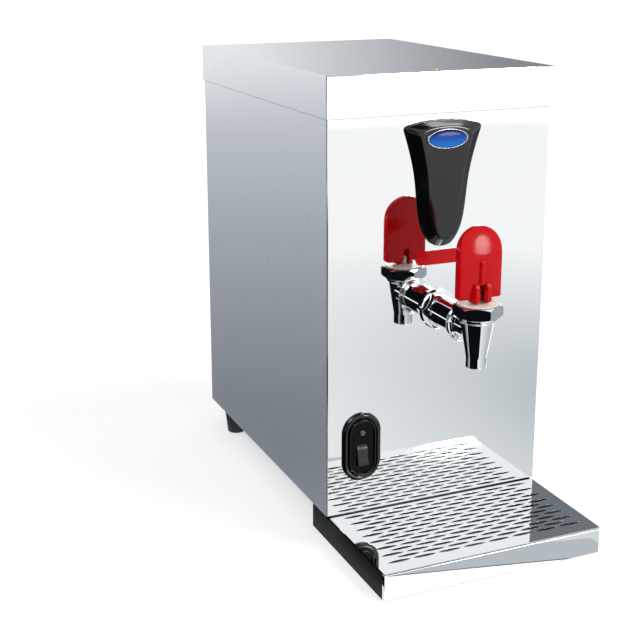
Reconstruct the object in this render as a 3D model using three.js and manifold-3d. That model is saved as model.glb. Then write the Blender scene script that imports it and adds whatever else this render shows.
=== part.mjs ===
// A countertop water boiler: steel cabinet, one lever tap, sliding drip tray and an autofill tank.
// Millimetres, +Z up. The front faces -Y, and the table is z = 0.
import * as THREE from "three";
import { mergeVertices } from "three/addons/utils/BufferGeometryUtils.js";
import Module from "manifold-3d";

const wasm = await Module();
wasm.setup();

// Driving sizes of the whole machine
const bodyWidth = 207.4;
const bodyDepth = 306.5;
const machineHeight = 401;
const floorHeight = 25;
const sheet = 1.2;
const tapHeight = 199;
const tapReach = 65;
const traySetback = 2.5;
const trayReach = 106.7;

// Clearances shared by many pieces
const seatGap = 0.3;
const slideGap = 0.6;
const holeGap = 0.35;
const runningGap = 0.1;
const cutRun = 3;
const mergeReach = 1e-4;

// Steps round a full turn
const fineSteps = 32;
const roundSteps = 22;
const smallSteps = 12;
const bendSteps = 4;

// Places that follow from the driving sizes
const bodyHalf = bodyWidth / 2;
const trayHalf = bodyHalf - traySetback;
const panelTop = machineHeight - sheet - seatGap;
const insideHalf = bodyHalf - sheet - seatGap;
const insideFront = sheet + seatGap;
const insideRear = bodyDepth - sheet - seatGap;
const floorTop = floorHeight + sheet;
const standsOnFloor = floorTop + seatGap;

// A closed geometry as a solid, with its shared corners merged.
function solid(geometry) {
  const loose = geometry.index ? geometry.toNonIndexed() : geometry;
  const bare = new THREE.BufferGeometry();
  bare.setAttribute("position", loose.getAttribute("position"));
  const merged = mergeVertices(bare, mergeReach);
  const corners = merged.index.array;
  const faces = [];
  for (let i = 0; i < corners.length; i += 3) {
    const [a, b, c] = corners.subarray(i, i + 3);
    if (a !== b && b !== c && c !== a) faces.push(a, b, c);
  }
  const vertProperties = new Float32Array(merged.attributes.position.array);
  return new wasm.Manifold(
    new wasm.Mesh({ numProp: 3, vertProperties, triVerts: new Uint32Array(faces) }),
  );
}

function join(first, ...others) {
  return others.reduce((whole, other) => whole.add(other), first);
}

function cut(first, ...tools) {
  return tools.reduce((rest, tool) => rest.subtract(tool), first);
}

function box([left, right], [near, far], [low, high]) {
  const geometry = new THREE.BoxGeometry(right - left, far - near, high - low);
  return solid(geometry.translate((left + right) / 2, (near + far) / 2, (low + high) / 2));
}

function extruded(points, depth) {
  const shape = new THREE.Shape(points.map(([x, y]) => new THREE.Vector2(x, y)));
  return new THREE.ExtrudeGeometry(shape, { depth, bevelEnabled: false });
}

// An outline in x and y, raised from z = low to z = high.
function raised(points, low, high) {
  return solid(extruded(points, high - low).translate(0, 0, low));
}

// An outline in x and z, running from y = near to y = far.
function standing(points, near, far) {
  return solid(extruded(points, far - near).rotateX(Math.PI / 2).translate(0, far, 0));
}

// An outline in y and z, running from x = left to x = right.
function crossing(points, left, right) {
  const turn = new THREE.Matrix4().makeBasis(
    new THREE.Vector3(0, 1, 0),
    new THREE.Vector3(0, 0, 1),
    new THREE.Vector3(1, 0, 0),
  );
  return solid(extruded(points, right - left).applyMatrix4(turn).translate(left, 0, 0));
}

// A profile of [radius, height] points spun about a line along y.
function spun(profile, steps) {
  const points = profile.map(([radius, height]) => new THREE.Vector2(radius, height));
  if (THREE.ShapeUtils.area(points) < 0) points.reverse();
  const closed = points.some((point) => point.x === 0) ? points : [...points, points[0]];
  const start = closed.findIndex((point, i) => point.x === 0 && closed.at(i - 1).x === 0);
  const ordered = start > 0 ? [...closed.slice(start), ...closed.slice(0, start)] : closed;
  return new THREE.LatheGeometry(ordered, steps);
}

function turnedUp(profile, [x, y], steps = roundSteps) {
  return solid(spun(profile, steps).rotateX(Math.PI / 2).translate(x, y, 0));
}

function turnedBack(profile, [x, z], steps = roundSteps) {
  return solid(spun(profile, steps).translate(x, 0, z));
}

function rodUp(radius, place, [low, high], steps = roundSteps) {
  return turnedUp([[0, low], [radius, low], [radius, high], [0, high]], place, steps);
}

function rodBack(radius, place, [near, far], steps = roundSteps) {
  return turnedBack([[0, near], [radius, near], [radius, far], [0, far]], place, steps);
}

function rodAcross(radius, [y, z], [left, right], steps = smallSteps) {
  return crossing(circle(radius, steps, [y, z]), left, right);
}

// Points round a circle, the first turned by a share of a full turn.
function circle(radius, steps, [x, y] = [0, 0], turnShare = 0) {
  return Array.from({ length: steps }, (_, i) => {
    const angle = (i / steps + turnShare) * 2 * Math.PI;
    return [x + radius * Math.cos(angle), y + radius * Math.sin(angle)];
  });
}

function oval(width, height, steps, [x, y] = [0, 0]) {
  return circle(1, steps).map(([u, v]) => [x + (u * width) / 2, y + (v * height) / 2]);
}

// A rounded bar outline, its round ends along the longer way.
function stadium(width, height, [x, y] = [0, 0], steps = fineSteps) {
  const radius = Math.min(width, height) / 2;
  return circle(radius, steps).map(([u, v]) => [
    x + u + Math.sign(Math.round(u / radius / roundingShare)) * (width / 2 - radius),
    y + v + Math.sign(Math.round(v / radius / roundingShare)) * (height / 2 - radius),
  ]);
}
const roundingShare = 1e-3;

function hexagon(acrossFlats, place, turnShare = 0) {
  return circle(acrossFlats / Math.sqrt(3), 6, place, turnShare);
}

// The two cones that chamfer a nut's corners, as a [radius, height] profile.
function chamfered(acrossFlats, chamfer, low, high) {
  const corner = acrossFlats / Math.sqrt(3);
  return [
    [0, low],
    [acrossFlats / 2, low],
    [corner + seatGap, low + chamfer],
    [corner + seatGap, high - chamfer],
    [acrossFlats / 2, high],
    [0, high],
  ];
}

// A path through given points, one step to each point.
class PointPath extends THREE.Curve {
  constructor(points) {
    super();
    this.points = points;
  }

  getPointAt(along) {
    const place = along * (this.points.length - 1);
    const i = Math.min(Math.floor(place), this.points.length - 2);
    return this.points[i].clone().lerp(this.points[i + 1], place - i);
  }

  getTangentAt(along) {
    const last = this.points.length - 1;
    const i = Math.round(along * last);
    const from = this.points[Math.max(i - 1, 0)];
    const to = this.points[Math.min(i + 1, last)];
    return to.clone().sub(from).normalize();
  }
}

// A pipe through points, its corners rounded from the bend distance on.
function pipe(points, radius, bend, sides = smallSteps) {
  const corners = points.map((point) => new THREE.Vector3(...point));
  const path = [corners[0]];
  for (let i = 1; i < corners.length - 1; i++) {
    const here = corners[i];
    const entry = here.clone().add(corners[i - 1].clone().sub(here).setLength(bend));
    const exit = here.clone().add(corners[i + 1].clone().sub(here).setLength(bend));
    path.push(...new THREE.QuadraticBezierCurve3(entry, here, exit).getPoints(bendSteps));
  }
  path.push(corners.at(-1));
  const section = new THREE.Shape(circle(radius, sides).map(([x, y]) => new THREE.Vector2(x, y)));
  const extrudePath = new PointPath(path);
  const steps = path.length - 1;
  return solid(new THREE.ExtrudeGeometry(section, { steps, extrudePath, curveSegments: 1 }));
}

// Finishes: colour, roughness, metalness
const finishes = {
  mirrorSteel: [0xe4e8ea, 0.06, 1],
  satinSteel: [0xa9aeb4, 0.32, 1],
  innerSteel: [0x9a9ea1, 0.45, 1],
  chrome: [0xdfe3e6, 0.04, 1],
  brass: [0xb8964a, 0.3, 1],
  copper: [0xb4744a, 0.35, 1],
  glossBlack: [0x0c0d0f, 0.12, 0],
  mattBlack: [0x141517, 0.6, 0],
  redPlastic: [0xc4121a, 0.18, 0],
  creamPlastic: [0xe9e4d2, 0.4, 0],
  whitePlastic: [0xdcdcd8, 0.45, 0],
  badgeBlue: [0x1646b4, 0.08, 0],
  silverTrim: [0xc9cdd1, 0.2, 1],
  amberLens: [0x5a1d12, 0.15, 0],
  blackRubber: [0x101010, 0.85, 0],
  silicone: [0xc8553d, 0.6, 0],
  foam: [0xcfcbbd, 0.95, 0],
  boardGreen: [0x1f5a36, 0.5, 0],
};

const machine = new THREE.Group();

function add(name, body, finish) {
  const { vertProperties, triVerts } = body.getMesh();
  const geometry = new THREE.BufferGeometry();
  geometry.setAttribute("position", new THREE.BufferAttribute(vertProperties, 3));
  geometry.setIndex(new THREE.BufferAttribute(triVerts, 1));
  geometry.computeVertexNormals();
  const [color, roughness, metalness] = finishes[finish];
  const mesh = new THREE.Mesh(
    geometry,
    new THREE.MeshStandardMaterial({ color, roughness, metalness }),
  );
  mesh.name = name;
  machine.add(mesh);
}

// Tap sizes that the cabinet's cut-outs follow
const tailRadius = 10.3;
const tap = [0, -tapReach];
const stemLine = [0, tapHeight];

// Switch
const switchWidth = 35.8;
const switchHeight = 61.6;
const switchInset = 32.1;
const switchAboveFloor = 59.8;
const switchThick = 2.6;
const switchRing = 1.3;
const switchRingRise = 1.2;
const switchFaceWidth = 21.8;
const switchFaceHeight = 49;
const housingWidth = 18;
const housingHeight = 44;
const housingDepth = 26;
const housingWall = 2;
const rockerWidth = 9.6;
const rockerLength = 17.6;
const rockerDrop = 7;
const rockerCrown = 2.4;
const rockerDip = 1.1;
const rockerBack = 3;
const rockerTilt = 7;
const rockerPivotDepth = 0.4;
const lampRadius = 2.7;
const lampRise = 13.2;
const lampDome = 1.4;
const lampLength = 8;

const switchAcross = switchInset - bodyHalf;
const switchUp = floorHeight + switchAboveFloor;
const switchPlace = [switchAcross, switchUp];
const faceFront = -seatGap - switchThick;

// Tap cover: half widths up its height, from the tip to the arched top
const coverAboveTap = 54.3;
const coverBelowLid = 4.4;
const coverWidth = 70.6;
const coverRise = 8;
const coverShoulder = 3;
const coverWall = 2.4;
const coverFaceShare = 0.66;
const coverFaceMiddleShare = 0.62;
const coverFaceHeightShare = 0.86;
const coverBossRadius = 4.5;
const coverScrewRadius = 1.7;
const coverScrewHead = 3.4;
const coverScrewHeadRise = 2;
const coverScrewBite = 5;
const coverScrewShares = [0.33, 0.74];

const lidHeight = 34.5;
const coverTip = tapHeight + coverAboveTap;
const coverTop = machineHeight - lidHeight - coverBelowLid;

// Half width over full width, and height over the whole height
const coverShares = [
  [0.085, 0.006],
  [0.16, 0.047],
  [0.222, 0.11],
  [0.27, 0.19],
  [0.3, 0.3],
  [0.318, 0.42],
  [0.334, 0.52],
  [0.362, 0.63],
  [0.414, 0.76],
  [0.466, 0.87],
  [0.496, 0.925],
  [0.494, 0.945],
  [0.47, 0.956],
  [0.32, 0.981],
  [0.16, 0.996],
];

// Badge and small plate
const badgeWidth = 38.4;
const badgeHeight = 16.4;
const badgeDrop = 15.6;
const badgeRim = 1.1;
const badgeThick = 1.4;
const badgeDome = 1;
const plateWidth = 46;
const plateHeight = 12.4;
const plateThick = 0.8;
const plateDrop = 8.5;

const plateUp = coverTip - plateDrop;

// Lid and its screw
const lidReach = 1.5;
const screwRadius = 2;
const screwHead = 3.4;
const screwHeadRise = 1.4;
const lidScrewInset = 16;
const lidScrewLength = 8;
const topFlange = 24;
const sideFlange = 14;
const floorLip = 12;

// Feet
const footHeightGap = seatGap;
const footTopRadius = 12;
const footBottomRadius = 9.2;
const footInset = 14.1;
const footFromRear = 36.9;
const footPocketGap = 0.8;
const footPocketDepth = 8;
const footScrewRadius = 2.2;
const footScrewHead = 4.2;
const footScrewHeadRise = 2.6;
const footScrewPast = 6;

const footPocketRadius = footScrewHead + footPocketGap;

// Rear connections
const inletInset = 53.7;
const inletAboveFloor = 37;
const inletRadius = 13.2;
const inletBore = 9;
const inletOut = 14;
const inletFlange = 17;
const inletFlangeThick = 4;
const valveLength = 34;
const valveHalf = 15;
const inletNutFlats = 36;
const inletNutThick = 6;
const glandInset = 48.7;
const glandRadius = 8;
const glandBore = 4;
const glandOut = 11;
const glandIn = 14;
const glandFlats = 22;
const glandHexThick = 5;
const glandNutFlats = 22;
const glandNutThick = 4;
const ventWidth = 70;
const ventHeight = 5;
const ventPitch = 11;
const ventCount = 6;
const ventAboveInlet = 48;

const inletAcross = inletInset - bodyHalf;
const inletUp = floorHeight + inletAboveFloor;
const glandAcross = bodyHalf - glandInset;
const ventBottom = inletUp + ventAboveInlet;
const inletPlace = [inletAcross, inletUp];
const glandPlace = [glandAcross, inletUp];

// Drip tray, its carrier and its grille
const carrierRun = 36;
const carrierWall = 2.5;
const carrierFloor = 2;
const carrierBeam = 15;
const carrierStep = 1;
const carrierStepDrop = 4;
const carrierScrewInset = 22;
const grilleThick = 1.5;
const grilleDrop = 0.9;
const grilleBackGap = 1.2;
const trayWall = 2;
const trayFrontReturn = 4;
const trayFrontLift = 0.8;
const trayBeamGap = 1;
const carrierScrewRadius = 2.2;
const carrierScrewHead = 4.2;
const carrierScrewHeadRise = 2.4;
const carrierScrewLength = 10;

const grilleTop = floorHeight - grilleDrop;
const grilleLow = grilleTop - grilleThick;
const rimTop = grilleLow - seatGap;
const beamFront = carrierRun - carrierBeam;
const beamMiddle = carrierRun - carrierBeam / 2;
const carrierTop = floorHeight - seatGap;
const carrierLedge = floorHeight - carrierStepDrop;

// Grille slots
const slotLength = 20.5;
const slotWidth = 3.1;
const slotPitch = 23.05;
const slotRowPitch = 6.04;
const slotFirstRow = 7;
const slotFrontRoom = 12;
const slotSideRoom = 6;

const slotRows = 1 + Math.floor((trayReach - slotFirstRow - slotFrontRoom) / slotRowPitch);
const slotColumns = 1 + Math.floor((2 * (trayHalf - slotSideRoom) - slotLength) / slotPitch);

// Tap
const spoutDrop = 31;
const spoutRadius = 9.9;
const spoutStraight = 9;
const spoutLip = 0.6;
const coneRise = 8;
const coneRadius = 15.4;
const neckRadius = 16;
const neckRise = 12;
const spigotRadius = 13.5;
const chamberRadius = 10.5;
const seatDrop = 9;
const outletBore = 5.5;
const stemBore = 5;
const armRadius = 12;
const discRadius = 16;
const discThick = 3.3;
const discRound = 0.9;
const barrelRadius = 13.5;
const tailShort = 3;
const nutChamfer = 1.6;
const panelNutFlats = 29;
const panelNutThick = 9;
const panelFlangeRadius = 17.5;
const panelFlangeThick = 2;
const bonnetFlats = 35.5;
const bonnetThick = 10;
const capRadius = 17;
const capThick = 1;
const capSpigot = 10.6;
const capSpigotDrop = 3;
const rodRadius = 2.6;
const rodPastPin = 3;
const stemFlange = 8;
const stemFlangeThick = 2.5;
const cupRadius = 8.2;
const cupHeight = 5.4;
const cupHoleDepth = 3.2;
const springRadius = 6.3;
const springWire = 0.6;
const springTurns = 6;
const springStepsPerTurn = 9;
const springSides = 5;
const sealRadius = 15;
const sealThick = 3.3;

const spoutBottom = tapHeight - spoutDrop;
const coneTop = tapHeight + coneRise;
const neckTop = tapHeight + neckRise;
const seatUp = tapHeight - seatDrop;
const discNear = bonnetFlats / Math.sqrt(3) + slideGap - tapReach;
const bonnetHole = capSpigot + holeGap;
const bonnetLow = neckTop + seatGap;
const bonnetTop = bonnetLow + bonnetThick;
const capLow = bonnetTop + seatGap;
const capTop = capLow + capThick;
const capSpigotLow = capLow - capSpigotDrop;
const spigotTop = capSpigotLow;
const cupLow = seatUp + seatGap;
const cupTop = cupLow + cupHeight;
const flangeLow = cupTop + seatGap;
const flangeTop = flangeLow + stemFlangeThick;

// Lever and the cam that lifts the stem in step with its tilt
const leverWidth = 38.4;
const leverHeight = 59;
const leverThick = 9;
const leverCrown = 1.2;
const leverHang = 1.2;
const prongWidth = 4.6;
const prongTop = 11.7;
const camDrop = 4.5;
const valveLift = 3.4;
const leverTilt = 35;
const camSteps = 8;
const pinRadius = 1.25;
const ribWidth = 4.4;
const ribRise = 2.9;
const ribTop = 30;
const slotHeadroom = 7.3;
const thumbHoleRadius = 1.6;
const thumbHoleUp = 38.6;
const thumbHoleDepth = 4;

const pinUp = capTop + seatGap + camDrop;
const leverLow = pinUp - leverHang;
const leverTop = leverLow + leverHeight;
const prongGap = 2 * (rodRadius + holeGap);
const prongHalf = prongGap / 2 + prongWidth;
const camRate = valveLift / THREE.MathUtils.degToRad(leverTilt);

// Tank, jacket and stand
const tankSideRoom = 25.7;
const tankFront = 30;
const tankBelowTap = 17;
const tankTopRoom = 29;
const pipeRoom = 19.7;
const tankWall = 1.2;
const tankRim = 8;
const jacketThick = 11;
const jacketBelowRim = 3;
const socketRadius = 14;
const gasketThick = 2;
const tankLidThick = 1.2;
const standFoot = 15;
const standInset = 4;
const standBehindCarrier = 2;
const standRearSetback = 18;

const valveNear = insideRear - inletFlangeThick - valveLength;
const tankHalf = bodyHalf - tankSideRoom;
const tankRear = valveNear - pipeRoom - jacketThick - seatGap;
const tankMiddle = (tankFront + tankRear) / 2;
const tankLow = tapHeight - tankBelowTap;
const tankTop = machineHeight - tankTopRoom;
const tailEnd = tankFront - tailShort;
const jacketLow = tankLow - seatGap - jacketThick;
const standTop = jacketLow - seatGap;
const standHalf = tankHalf + seatGap + jacketThick - standInset;
const standFront = carrierRun + standBehindCarrier;
const rimHalf = tankHalf + tankRim;
const gasketLow = tankTop + seatGap;
const tankLidLow = gasketLow + gasketThick + seatGap;
const tankLidTop = tankLidLow + tankLidThick;
const sealFront = insideFront;
const sealRear = sealFront + sealThick;

// Heater, probes and sensors
const heaterAboveFloor = 28;
const heaterRadius = 4;
const heaterHalf = 16;
const heaterFrontRoom = 38;
const heaterPlug = 11;
const heaterFlange = 22;
const heaterFlangeThick = 3;
const heaterOut = 18;
const heaterNutFlats = 44;
const heaterNutThick = 8;
const studRadius = 2;
const studLength = 8;
const probeRadius = 1.5;
const probeCollar = 4;
const probeFlange = 6;
const probeFlangeThick = 3;
const probeCollarRise = 8;
const probeTip = 5;
const longProbeClear = 10.6;
const shortProbeLength = 24;
const probeHalf = 25;
const probeAhead = 33;
const sensorBehind = 7;
const sensorClear = 50.6;
const cutoutRadius = 9;
const cutoutThick = 9;
const cutoutBehind = 47;
const cutoutAcross = 45;

const heaterUp = tankLow + heaterAboveFloor;
const heaterTop = heaterUp + heaterRadius;

// Pipes
const fillRadius = 4;
const overflowRadius = 5;
const drainRadius = 7;
const pipeBend = 11;
const fillInside = 5;
const overflowInset = 23;
const overflowDrop = 10;
const overflowBack = 14;
const overflowPast = 6;
const overflowWallShare = 0.6;
const drainBehindFront = 32;
const drainInside = 2;
const drainBelowFloor = 13;
const plugRadius = 10.5;
const plugBelowDrain = 5;
const plugWall = 2;
const plugHeight = 12;

const overflowAcross = tankHalf - overflowInset;
const drainLow = floorHeight - drainBelowFloor;
const plugLow = drainLow - plugBelowDrain;

// Coil, board and terminals
const coilHalf = 12;
const coilHeight = 26;
const coilSteps = 16;
const boardLeftRoom = 12.3;
const boardRightRoom = 28.3;
const boardDepth = 72;
const boardThick = 1.6;
const boardBehind = 21;
const pillarRadius = 3;
const pillarHeight = 12;
const pillarInset = 6;
const boardTrayThick = 2;
const relayInset = 12;
const relayWidth = 20;
const relayDepth = 28;
const relayHeight = 18;
const transformerInset = 16;
const transformerWidth = 34;
const transformerHeight = 26;
const terminalWidth = 40;
const terminalDepth = 20;
const terminalHeight = 16;
const terminalGap = 11;
const terminalWays = 3;
const terminalHole = 3;

const boardLeft = standFoot - standHalf + boardLeftRoom;
const boardRight = standHalf - standFoot - boardRightRoom;
const boardNear = tankMiddle + boardBehind - boardDepth / 2;

// Cabinet
function frontPanel() {
  const plate = box([-bodyHalf, bodyHalf], [0, sheet], [floorHeight, panelTop]);
  const flangeHalf = bodyHalf - sideFlange - seatGap;
  const flange = box([-flangeHalf, flangeHalf], [0, topFlange], [panelTop - sheet, panelTop]);
  const through = [-cutRun, sheet + cutRun];
  const coverHoles = coverScrewPlaces().map((place) =>
    rodBack(coverScrewRadius + holeGap, place, through, smallSteps),
  );
  return cut(
    join(plate, flange),
    rodBack(tailRadius + holeGap, stemLine, through),
    standing(stadium(housingWidth + 2 * holeGap, housingHeight + 2 * holeGap, switchPlace), ...through),
    rodUp(screwRadius + slideGap, lidScrewPlace(), [panelTop - cutRun, panelTop + cutRun], smallSteps),
    ...coverHoles,
  );
}

function sidePanel(side) {
  const outline = [
    [bodyHalf, insideFront],
    [bodyHalf, insideRear],
    [bodyHalf - sideFlange, insideRear],
    [bodyHalf - sideFlange, insideRear - sheet],
    [bodyHalf - sheet, insideRear - sheet],
    [bodyHalf - sheet, insideFront + sheet],
    [bodyHalf - sideFlange, insideFront + sheet],
    [bodyHalf - sideFlange, insideFront],
  ];
  const placed = outline.map(([x, y]) => [side * x, y]);
  return raised(placed, floorHeight, panelTop);
}

function rearPanel() {
  const faces = [bodyDepth - sheet, bodyDepth];
  const through = [faces[0] - cutRun, faces[1] + cutRun];
  const plate = box([-bodyHalf, bodyHalf], faces, [floorHeight, panelTop]);
  const vents = Array.from({ length: ventCount }, (_, i) =>
    standing(stadium(ventWidth, ventHeight, [0, ventBottom + i * ventPitch], smallSteps), ...through),
  );
  return cut(
    plate,
    rodBack(inletRadius + holeGap, inletPlace, through),
    rodBack(glandRadius + holeGap, glandPlace, through),
    ...vents,
  );
}

function floorPlate() {
  const near = insideFront + sheet + seatGap;
  const far = insideRear - sheet - seatGap;
  const pan = box([-insideHalf, insideHalf], [near, far], [floorHeight, floorHeight + floorLip]);
  const inner = insideHalf - sheet;
  const hollow = box([-inner, inner], [near + sheet, far - sheet], [floorTop, floorTop + floorLip]);
  const through = [floorHeight - cutRun, floorTop + cutRun];
  const screwHoles = [...footPlaces(), ...carrierScrewPlaces()].map((place) =>
    rodUp(footScrewRadius + holeGap, place, through, smallSteps),
  );
  return cut(
    pan,
    hollow,
    rodUp(drainRadius + holeGap, drainPlace(), through),
    rodUp(overflowRadius + holeGap, overflowFloorPlace(), through, smallSteps),
    ...screwHoles,
  );
}

function lid() {
  const half = bodyHalf + lidReach;
  const low = machineHeight - lidHeight;
  const cap = box([-half, half], [-lidReach, bodyDepth + lidReach], [low, machineHeight]);
  const hollow = box(
    [sheet - half, half - sheet],
    [sheet - lidReach, bodyDepth + lidReach - sheet],
    [low - cutRun, machineHeight - sheet],
  );
  const hole = rodUp(
    screwRadius + holeGap,
    lidScrewPlace(),
    [machineHeight - sheet - cutRun, machineHeight + cutRun],
    smallSteps,
  );
  return cut(cap, hollow, hole);
}

function lidScrewPlace() {
  return [0, lidScrewInset];
}

function lidScrew() {
  const seat = machineHeight + seatGap;
  const tip = seat - lidScrewLength;
  return turnedUp(
    [
      [0, tip],
      [screwRadius, tip],
      [screwRadius, seat],
      [screwHead, seat],
      [screwHead * screwDomeShare, seat + screwHeadRise],
      [0, seat + screwHeadRise],
    ],
    lidScrewPlace(),
    roundSteps,
  );
}
const screwDomeShare = 0.6;

// Feet
function footPlaces() {
  return [-1, 1].map((side) => [side * (bodyHalf - footInset), bodyDepth - footFromRear]);
}

function rearFoot(place) {
  const top = floorHeight - footHeightGap;
  const hole = footScrewRadius + holeGap;
  return turnedUp(
    [
      [footPocketRadius, 0],
      [footBottomRadius, 0],
      [footTopRadius, top],
      [hole, top],
      [hole, footPocketDepth],
      [footPocketRadius, footPocketDepth],
    ],
    place,
  );
}

function footScrew(place) {
  const seat = footPocketDepth - seatGap;
  const tip = floorTop + footScrewPast;
  return turnedUp(
    [
      [0, seat - footScrewHeadRise],
      [footScrewHead, seat - footScrewHeadRise],
      [footScrewHead, seat],
      [footScrewRadius, seat],
      [footScrewRadius, tip],
      [0, tip],
    ],
    place,
    smallSteps,
  );
}

// Tap cover
function coverOutline(faceShare, middleShare, heightShare, shrink) {
  const height = coverTop - coverTip;
  const right = coverShares.map(([across, up]) => [
    (across * coverWidth * faceShare) * (1 - shrink / (coverWidth / 2)),
    coverTip + height * (middleShare + (up - middleShare) * heightShare * (1 - shrink / (height / 2))),
  ]);
  const left = right.map(([x, z]) => [-x, z]).reverse();
  return [...right, ...left];
}

// A solid between two outlines with the same count of points, from y = near to y = far.
function lofted(nearOutline, farOutline, near, far) {
  const count = nearOutline.length;
  const position = [];
  const corner = (outline, i, y) => [outline[i % count][0], y, outline[i % count][1]];
  const triangle = (...corners) => position.push(...corners.flat());
  for (let i = 0; i < count; i++) {
    const [a, b] = [corner(nearOutline, i, near), corner(nearOutline, i + 1, near)];
    const [c, d] = [corner(farOutline, i, far), corner(farOutline, i + 1, far)];
    triangle(a, d, b);
    triangle(a, c, d);
  }
  const flat = (outline) => outline.map(([x, z]) => new THREE.Vector2(x, z));
  for (const [i, j, k] of THREE.ShapeUtils.triangulateShape(flat(nearOutline), [])) {
    triangle(corner(nearOutline, i, near), corner(nearOutline, j, near), corner(nearOutline, k, near));
  }
  for (const [i, j, k] of THREE.ShapeUtils.triangulateShape(flat(farOutline), [])) {
    triangle(corner(farOutline, i, far), corner(farOutline, k, far), corner(farOutline, j, far));
  }
  const geometry = new THREE.BufferGeometry();
  geometry.setAttribute("position", new THREE.Float32BufferAttribute(position, 3));
  return solid(geometry);
}

function coverScrewPlaces() {
  return coverScrewShares.map((share) => [0, coverTip + (coverTop - coverTip) * share]);
}

function tapCover() {
  const back = -seatGap;
  const face = back - coverRise;
  const middle = back - coverShoulder;
  const full = coverOutline(1, 0, 1, 0);
  const bevel = coverOutline(coverFaceShare, coverFaceMiddleShare, coverFaceHeightShare, 0);
  const shoulder = coverOutline(1, 0, 1, coverWall / 2);
  const outer = join(
    lofted(shoulder, full, middle, back),
    lofted(bevel, shoulder, face, middle),
  );
  const innerBack = coverOutline(1, 0, 1, coverWall);
  const innerFace = coverOutline(coverFaceShare, coverFaceMiddleShare, coverFaceHeightShare, coverWall);
  const hollow = lofted(innerFace, innerBack, face + coverWall, back + cutRun / 2);
  const bosses = coverScrewPlaces().map((place) =>
    rodBack(coverBossRadius, place, [face + coverWall / 2, back], smallSteps),
  );
  const holes = coverScrewPlaces().map((place) =>
    rodBack(coverScrewRadius + holeGap, place, [back - coverScrewBite, back + cutRun], smallSteps),
  );
  return cut(join(cut(outer, hollow), ...bosses), ...holes);
}

function coverScrew(place) {
  const tip = seatGap - coverScrewBite;
  const seat = sheet + seatGap;
  return turnedBack(
    [
      [0, tip],
      [coverScrewRadius, tip],
      [coverScrewRadius, seat],
      [coverScrewHead, seat],
      [coverScrewHead, seat + coverScrewHeadRise],
      [0, seat + coverScrewHeadRise],
    ],
    place,
    smallSteps,
  );
}

// Badge and small plate
function badgePlace() {
  return [0, coverTop - badgeDrop];
}

function badgeBack() {
  return -seatGap - coverRise - seatGap;
}

function badgeRimRing() {
  const far = badgeBack();
  const outer = oval(badgeWidth, badgeHeight, fineSteps, badgePlace());
  const inner = oval(badgeWidth - 2 * badgeRim, badgeHeight - 2 * badgeRim, fineSteps, badgePlace());
  return cut(standing(outer, far - badgeThick, far), standing(inner, far - badgeThick - cutRun, far + cutRun));
}

function badgeLens() {
  const far = badgeBack();
  const near = far - badgeThick - badgeDome;
  const trim = 2 * (badgeRim + seatGap);
  const outline = (share) =>
    oval((badgeWidth - trim) * share, (badgeHeight - trim) * share, fineSteps, badgePlace());
  const middle = far - badgeThick / 2;
  return join(
    lofted(outline(1), outline(1), middle, far),
    lofted(outline(domeShare), outline(1), near + badgeDome / 2, middle),
    lofted(outline(crownShare), outline(domeShare), near, near + badgeDome / 2),
  );
}
const domeShare = 0.9;
const crownShare = 0.55;

function smallPlate() {
  return standing(stadium(plateWidth, plateHeight, [0, plateUp]), -seatGap - plateThick, -seatGap);
}

// Switch
function switchPlate() {
  const back = -seatGap;
  const plate = standing(stadium(switchWidth, switchHeight, switchPlace), faceFront, back);
  const ringWidth = switchFaceWidth + 2 * switchRing;
  const ringHeight = switchFaceHeight + 2 * switchRing;
  const ring = standing(stadium(ringWidth, ringHeight, switchPlace), faceFront - switchRingRise, back);
  const opening = standing(
    stadium(switchFaceWidth, switchFaceHeight, switchPlace),
    faceFront - switchRingRise - cutRun,
    back + cutRun,
  );
  return cut(join(plate, ring), opening);
}

function rockerPlace() {
  return [rockerPivotY(), switchUp - rockerDrop];
}

function rockerPivotY() {
  return faceFront + rockerPivotDepth;
}

function switchHousing() {
  const back = -seatGap;
  const trim = 2 * seatGap;
  const face = standing(
    stadium(switchFaceWidth - trim, switchFaceHeight - trim, switchPlace),
    faceFront + seatGap,
    back,
  );
  const can = standing(stadium(housingWidth, housingHeight, switchPlace), back - seatGap, housingDepth);
  const [, rockerUp] = rockerPlace();
  const pocketHalf = rockerWidth / 2 + seatGap;
  const pocketTall = rockerLength / 2 + slideGap;
  const pocket = box(
    [switchAcross - pocketHalf, switchAcross + pocketHalf],
    [faceFront - cutRun, rockerPivotY() + rockerLength / 2],
    [rockerUp - pocketTall, rockerUp + pocketTall],
  );
  const lampHole = rodBack(
    lampRadius + holeGap,
    [switchAcross, switchUp + lampRise],
    [faceFront - cutRun, faceFront + lampLength],
    smallSteps,
  );
  const wall = 2 * housingWall;
  const hollow = standing(
    stadium(housingWidth - wall, housingHeight - wall, switchPlace),
    rockerPivotY() + rockerLength / 2 + housingWall,
    housingDepth + cutRun,
  );
  return cut(join(face, can), pocket, lampHole, hollow);
}

// Rocker seen from the side: outward and up, about its pivot
function rocker() {
  const [pivotY, pivotUp] = rockerPlace();
  const half = rockerLength / 2;
  const outline = [
    [-rockerBack, -half * rockerRootShare],
    [rockerCrown - rockerDip, -half],
    [rockerCrown, -half],
    [rockerDip, 0],
    [rockerCrown, half],
    [rockerCrown - rockerDip, half],
    [-rockerBack, half * rockerRootShare],
  ];
  const tilt = THREE.MathUtils.degToRad(-rockerTilt);
  const placed = outline.map(([out, up]) => [
    pivotY - out * Math.cos(tilt) - up * Math.sin(tilt),
    pivotUp - out * Math.sin(tilt) + up * Math.cos(tilt),
  ]);
  const left = switchAcross - rockerWidth / 2;
  return crossing(placed.reverse(), left, left + rockerWidth);
}
const rockerRootShare = 0.55;

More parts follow.
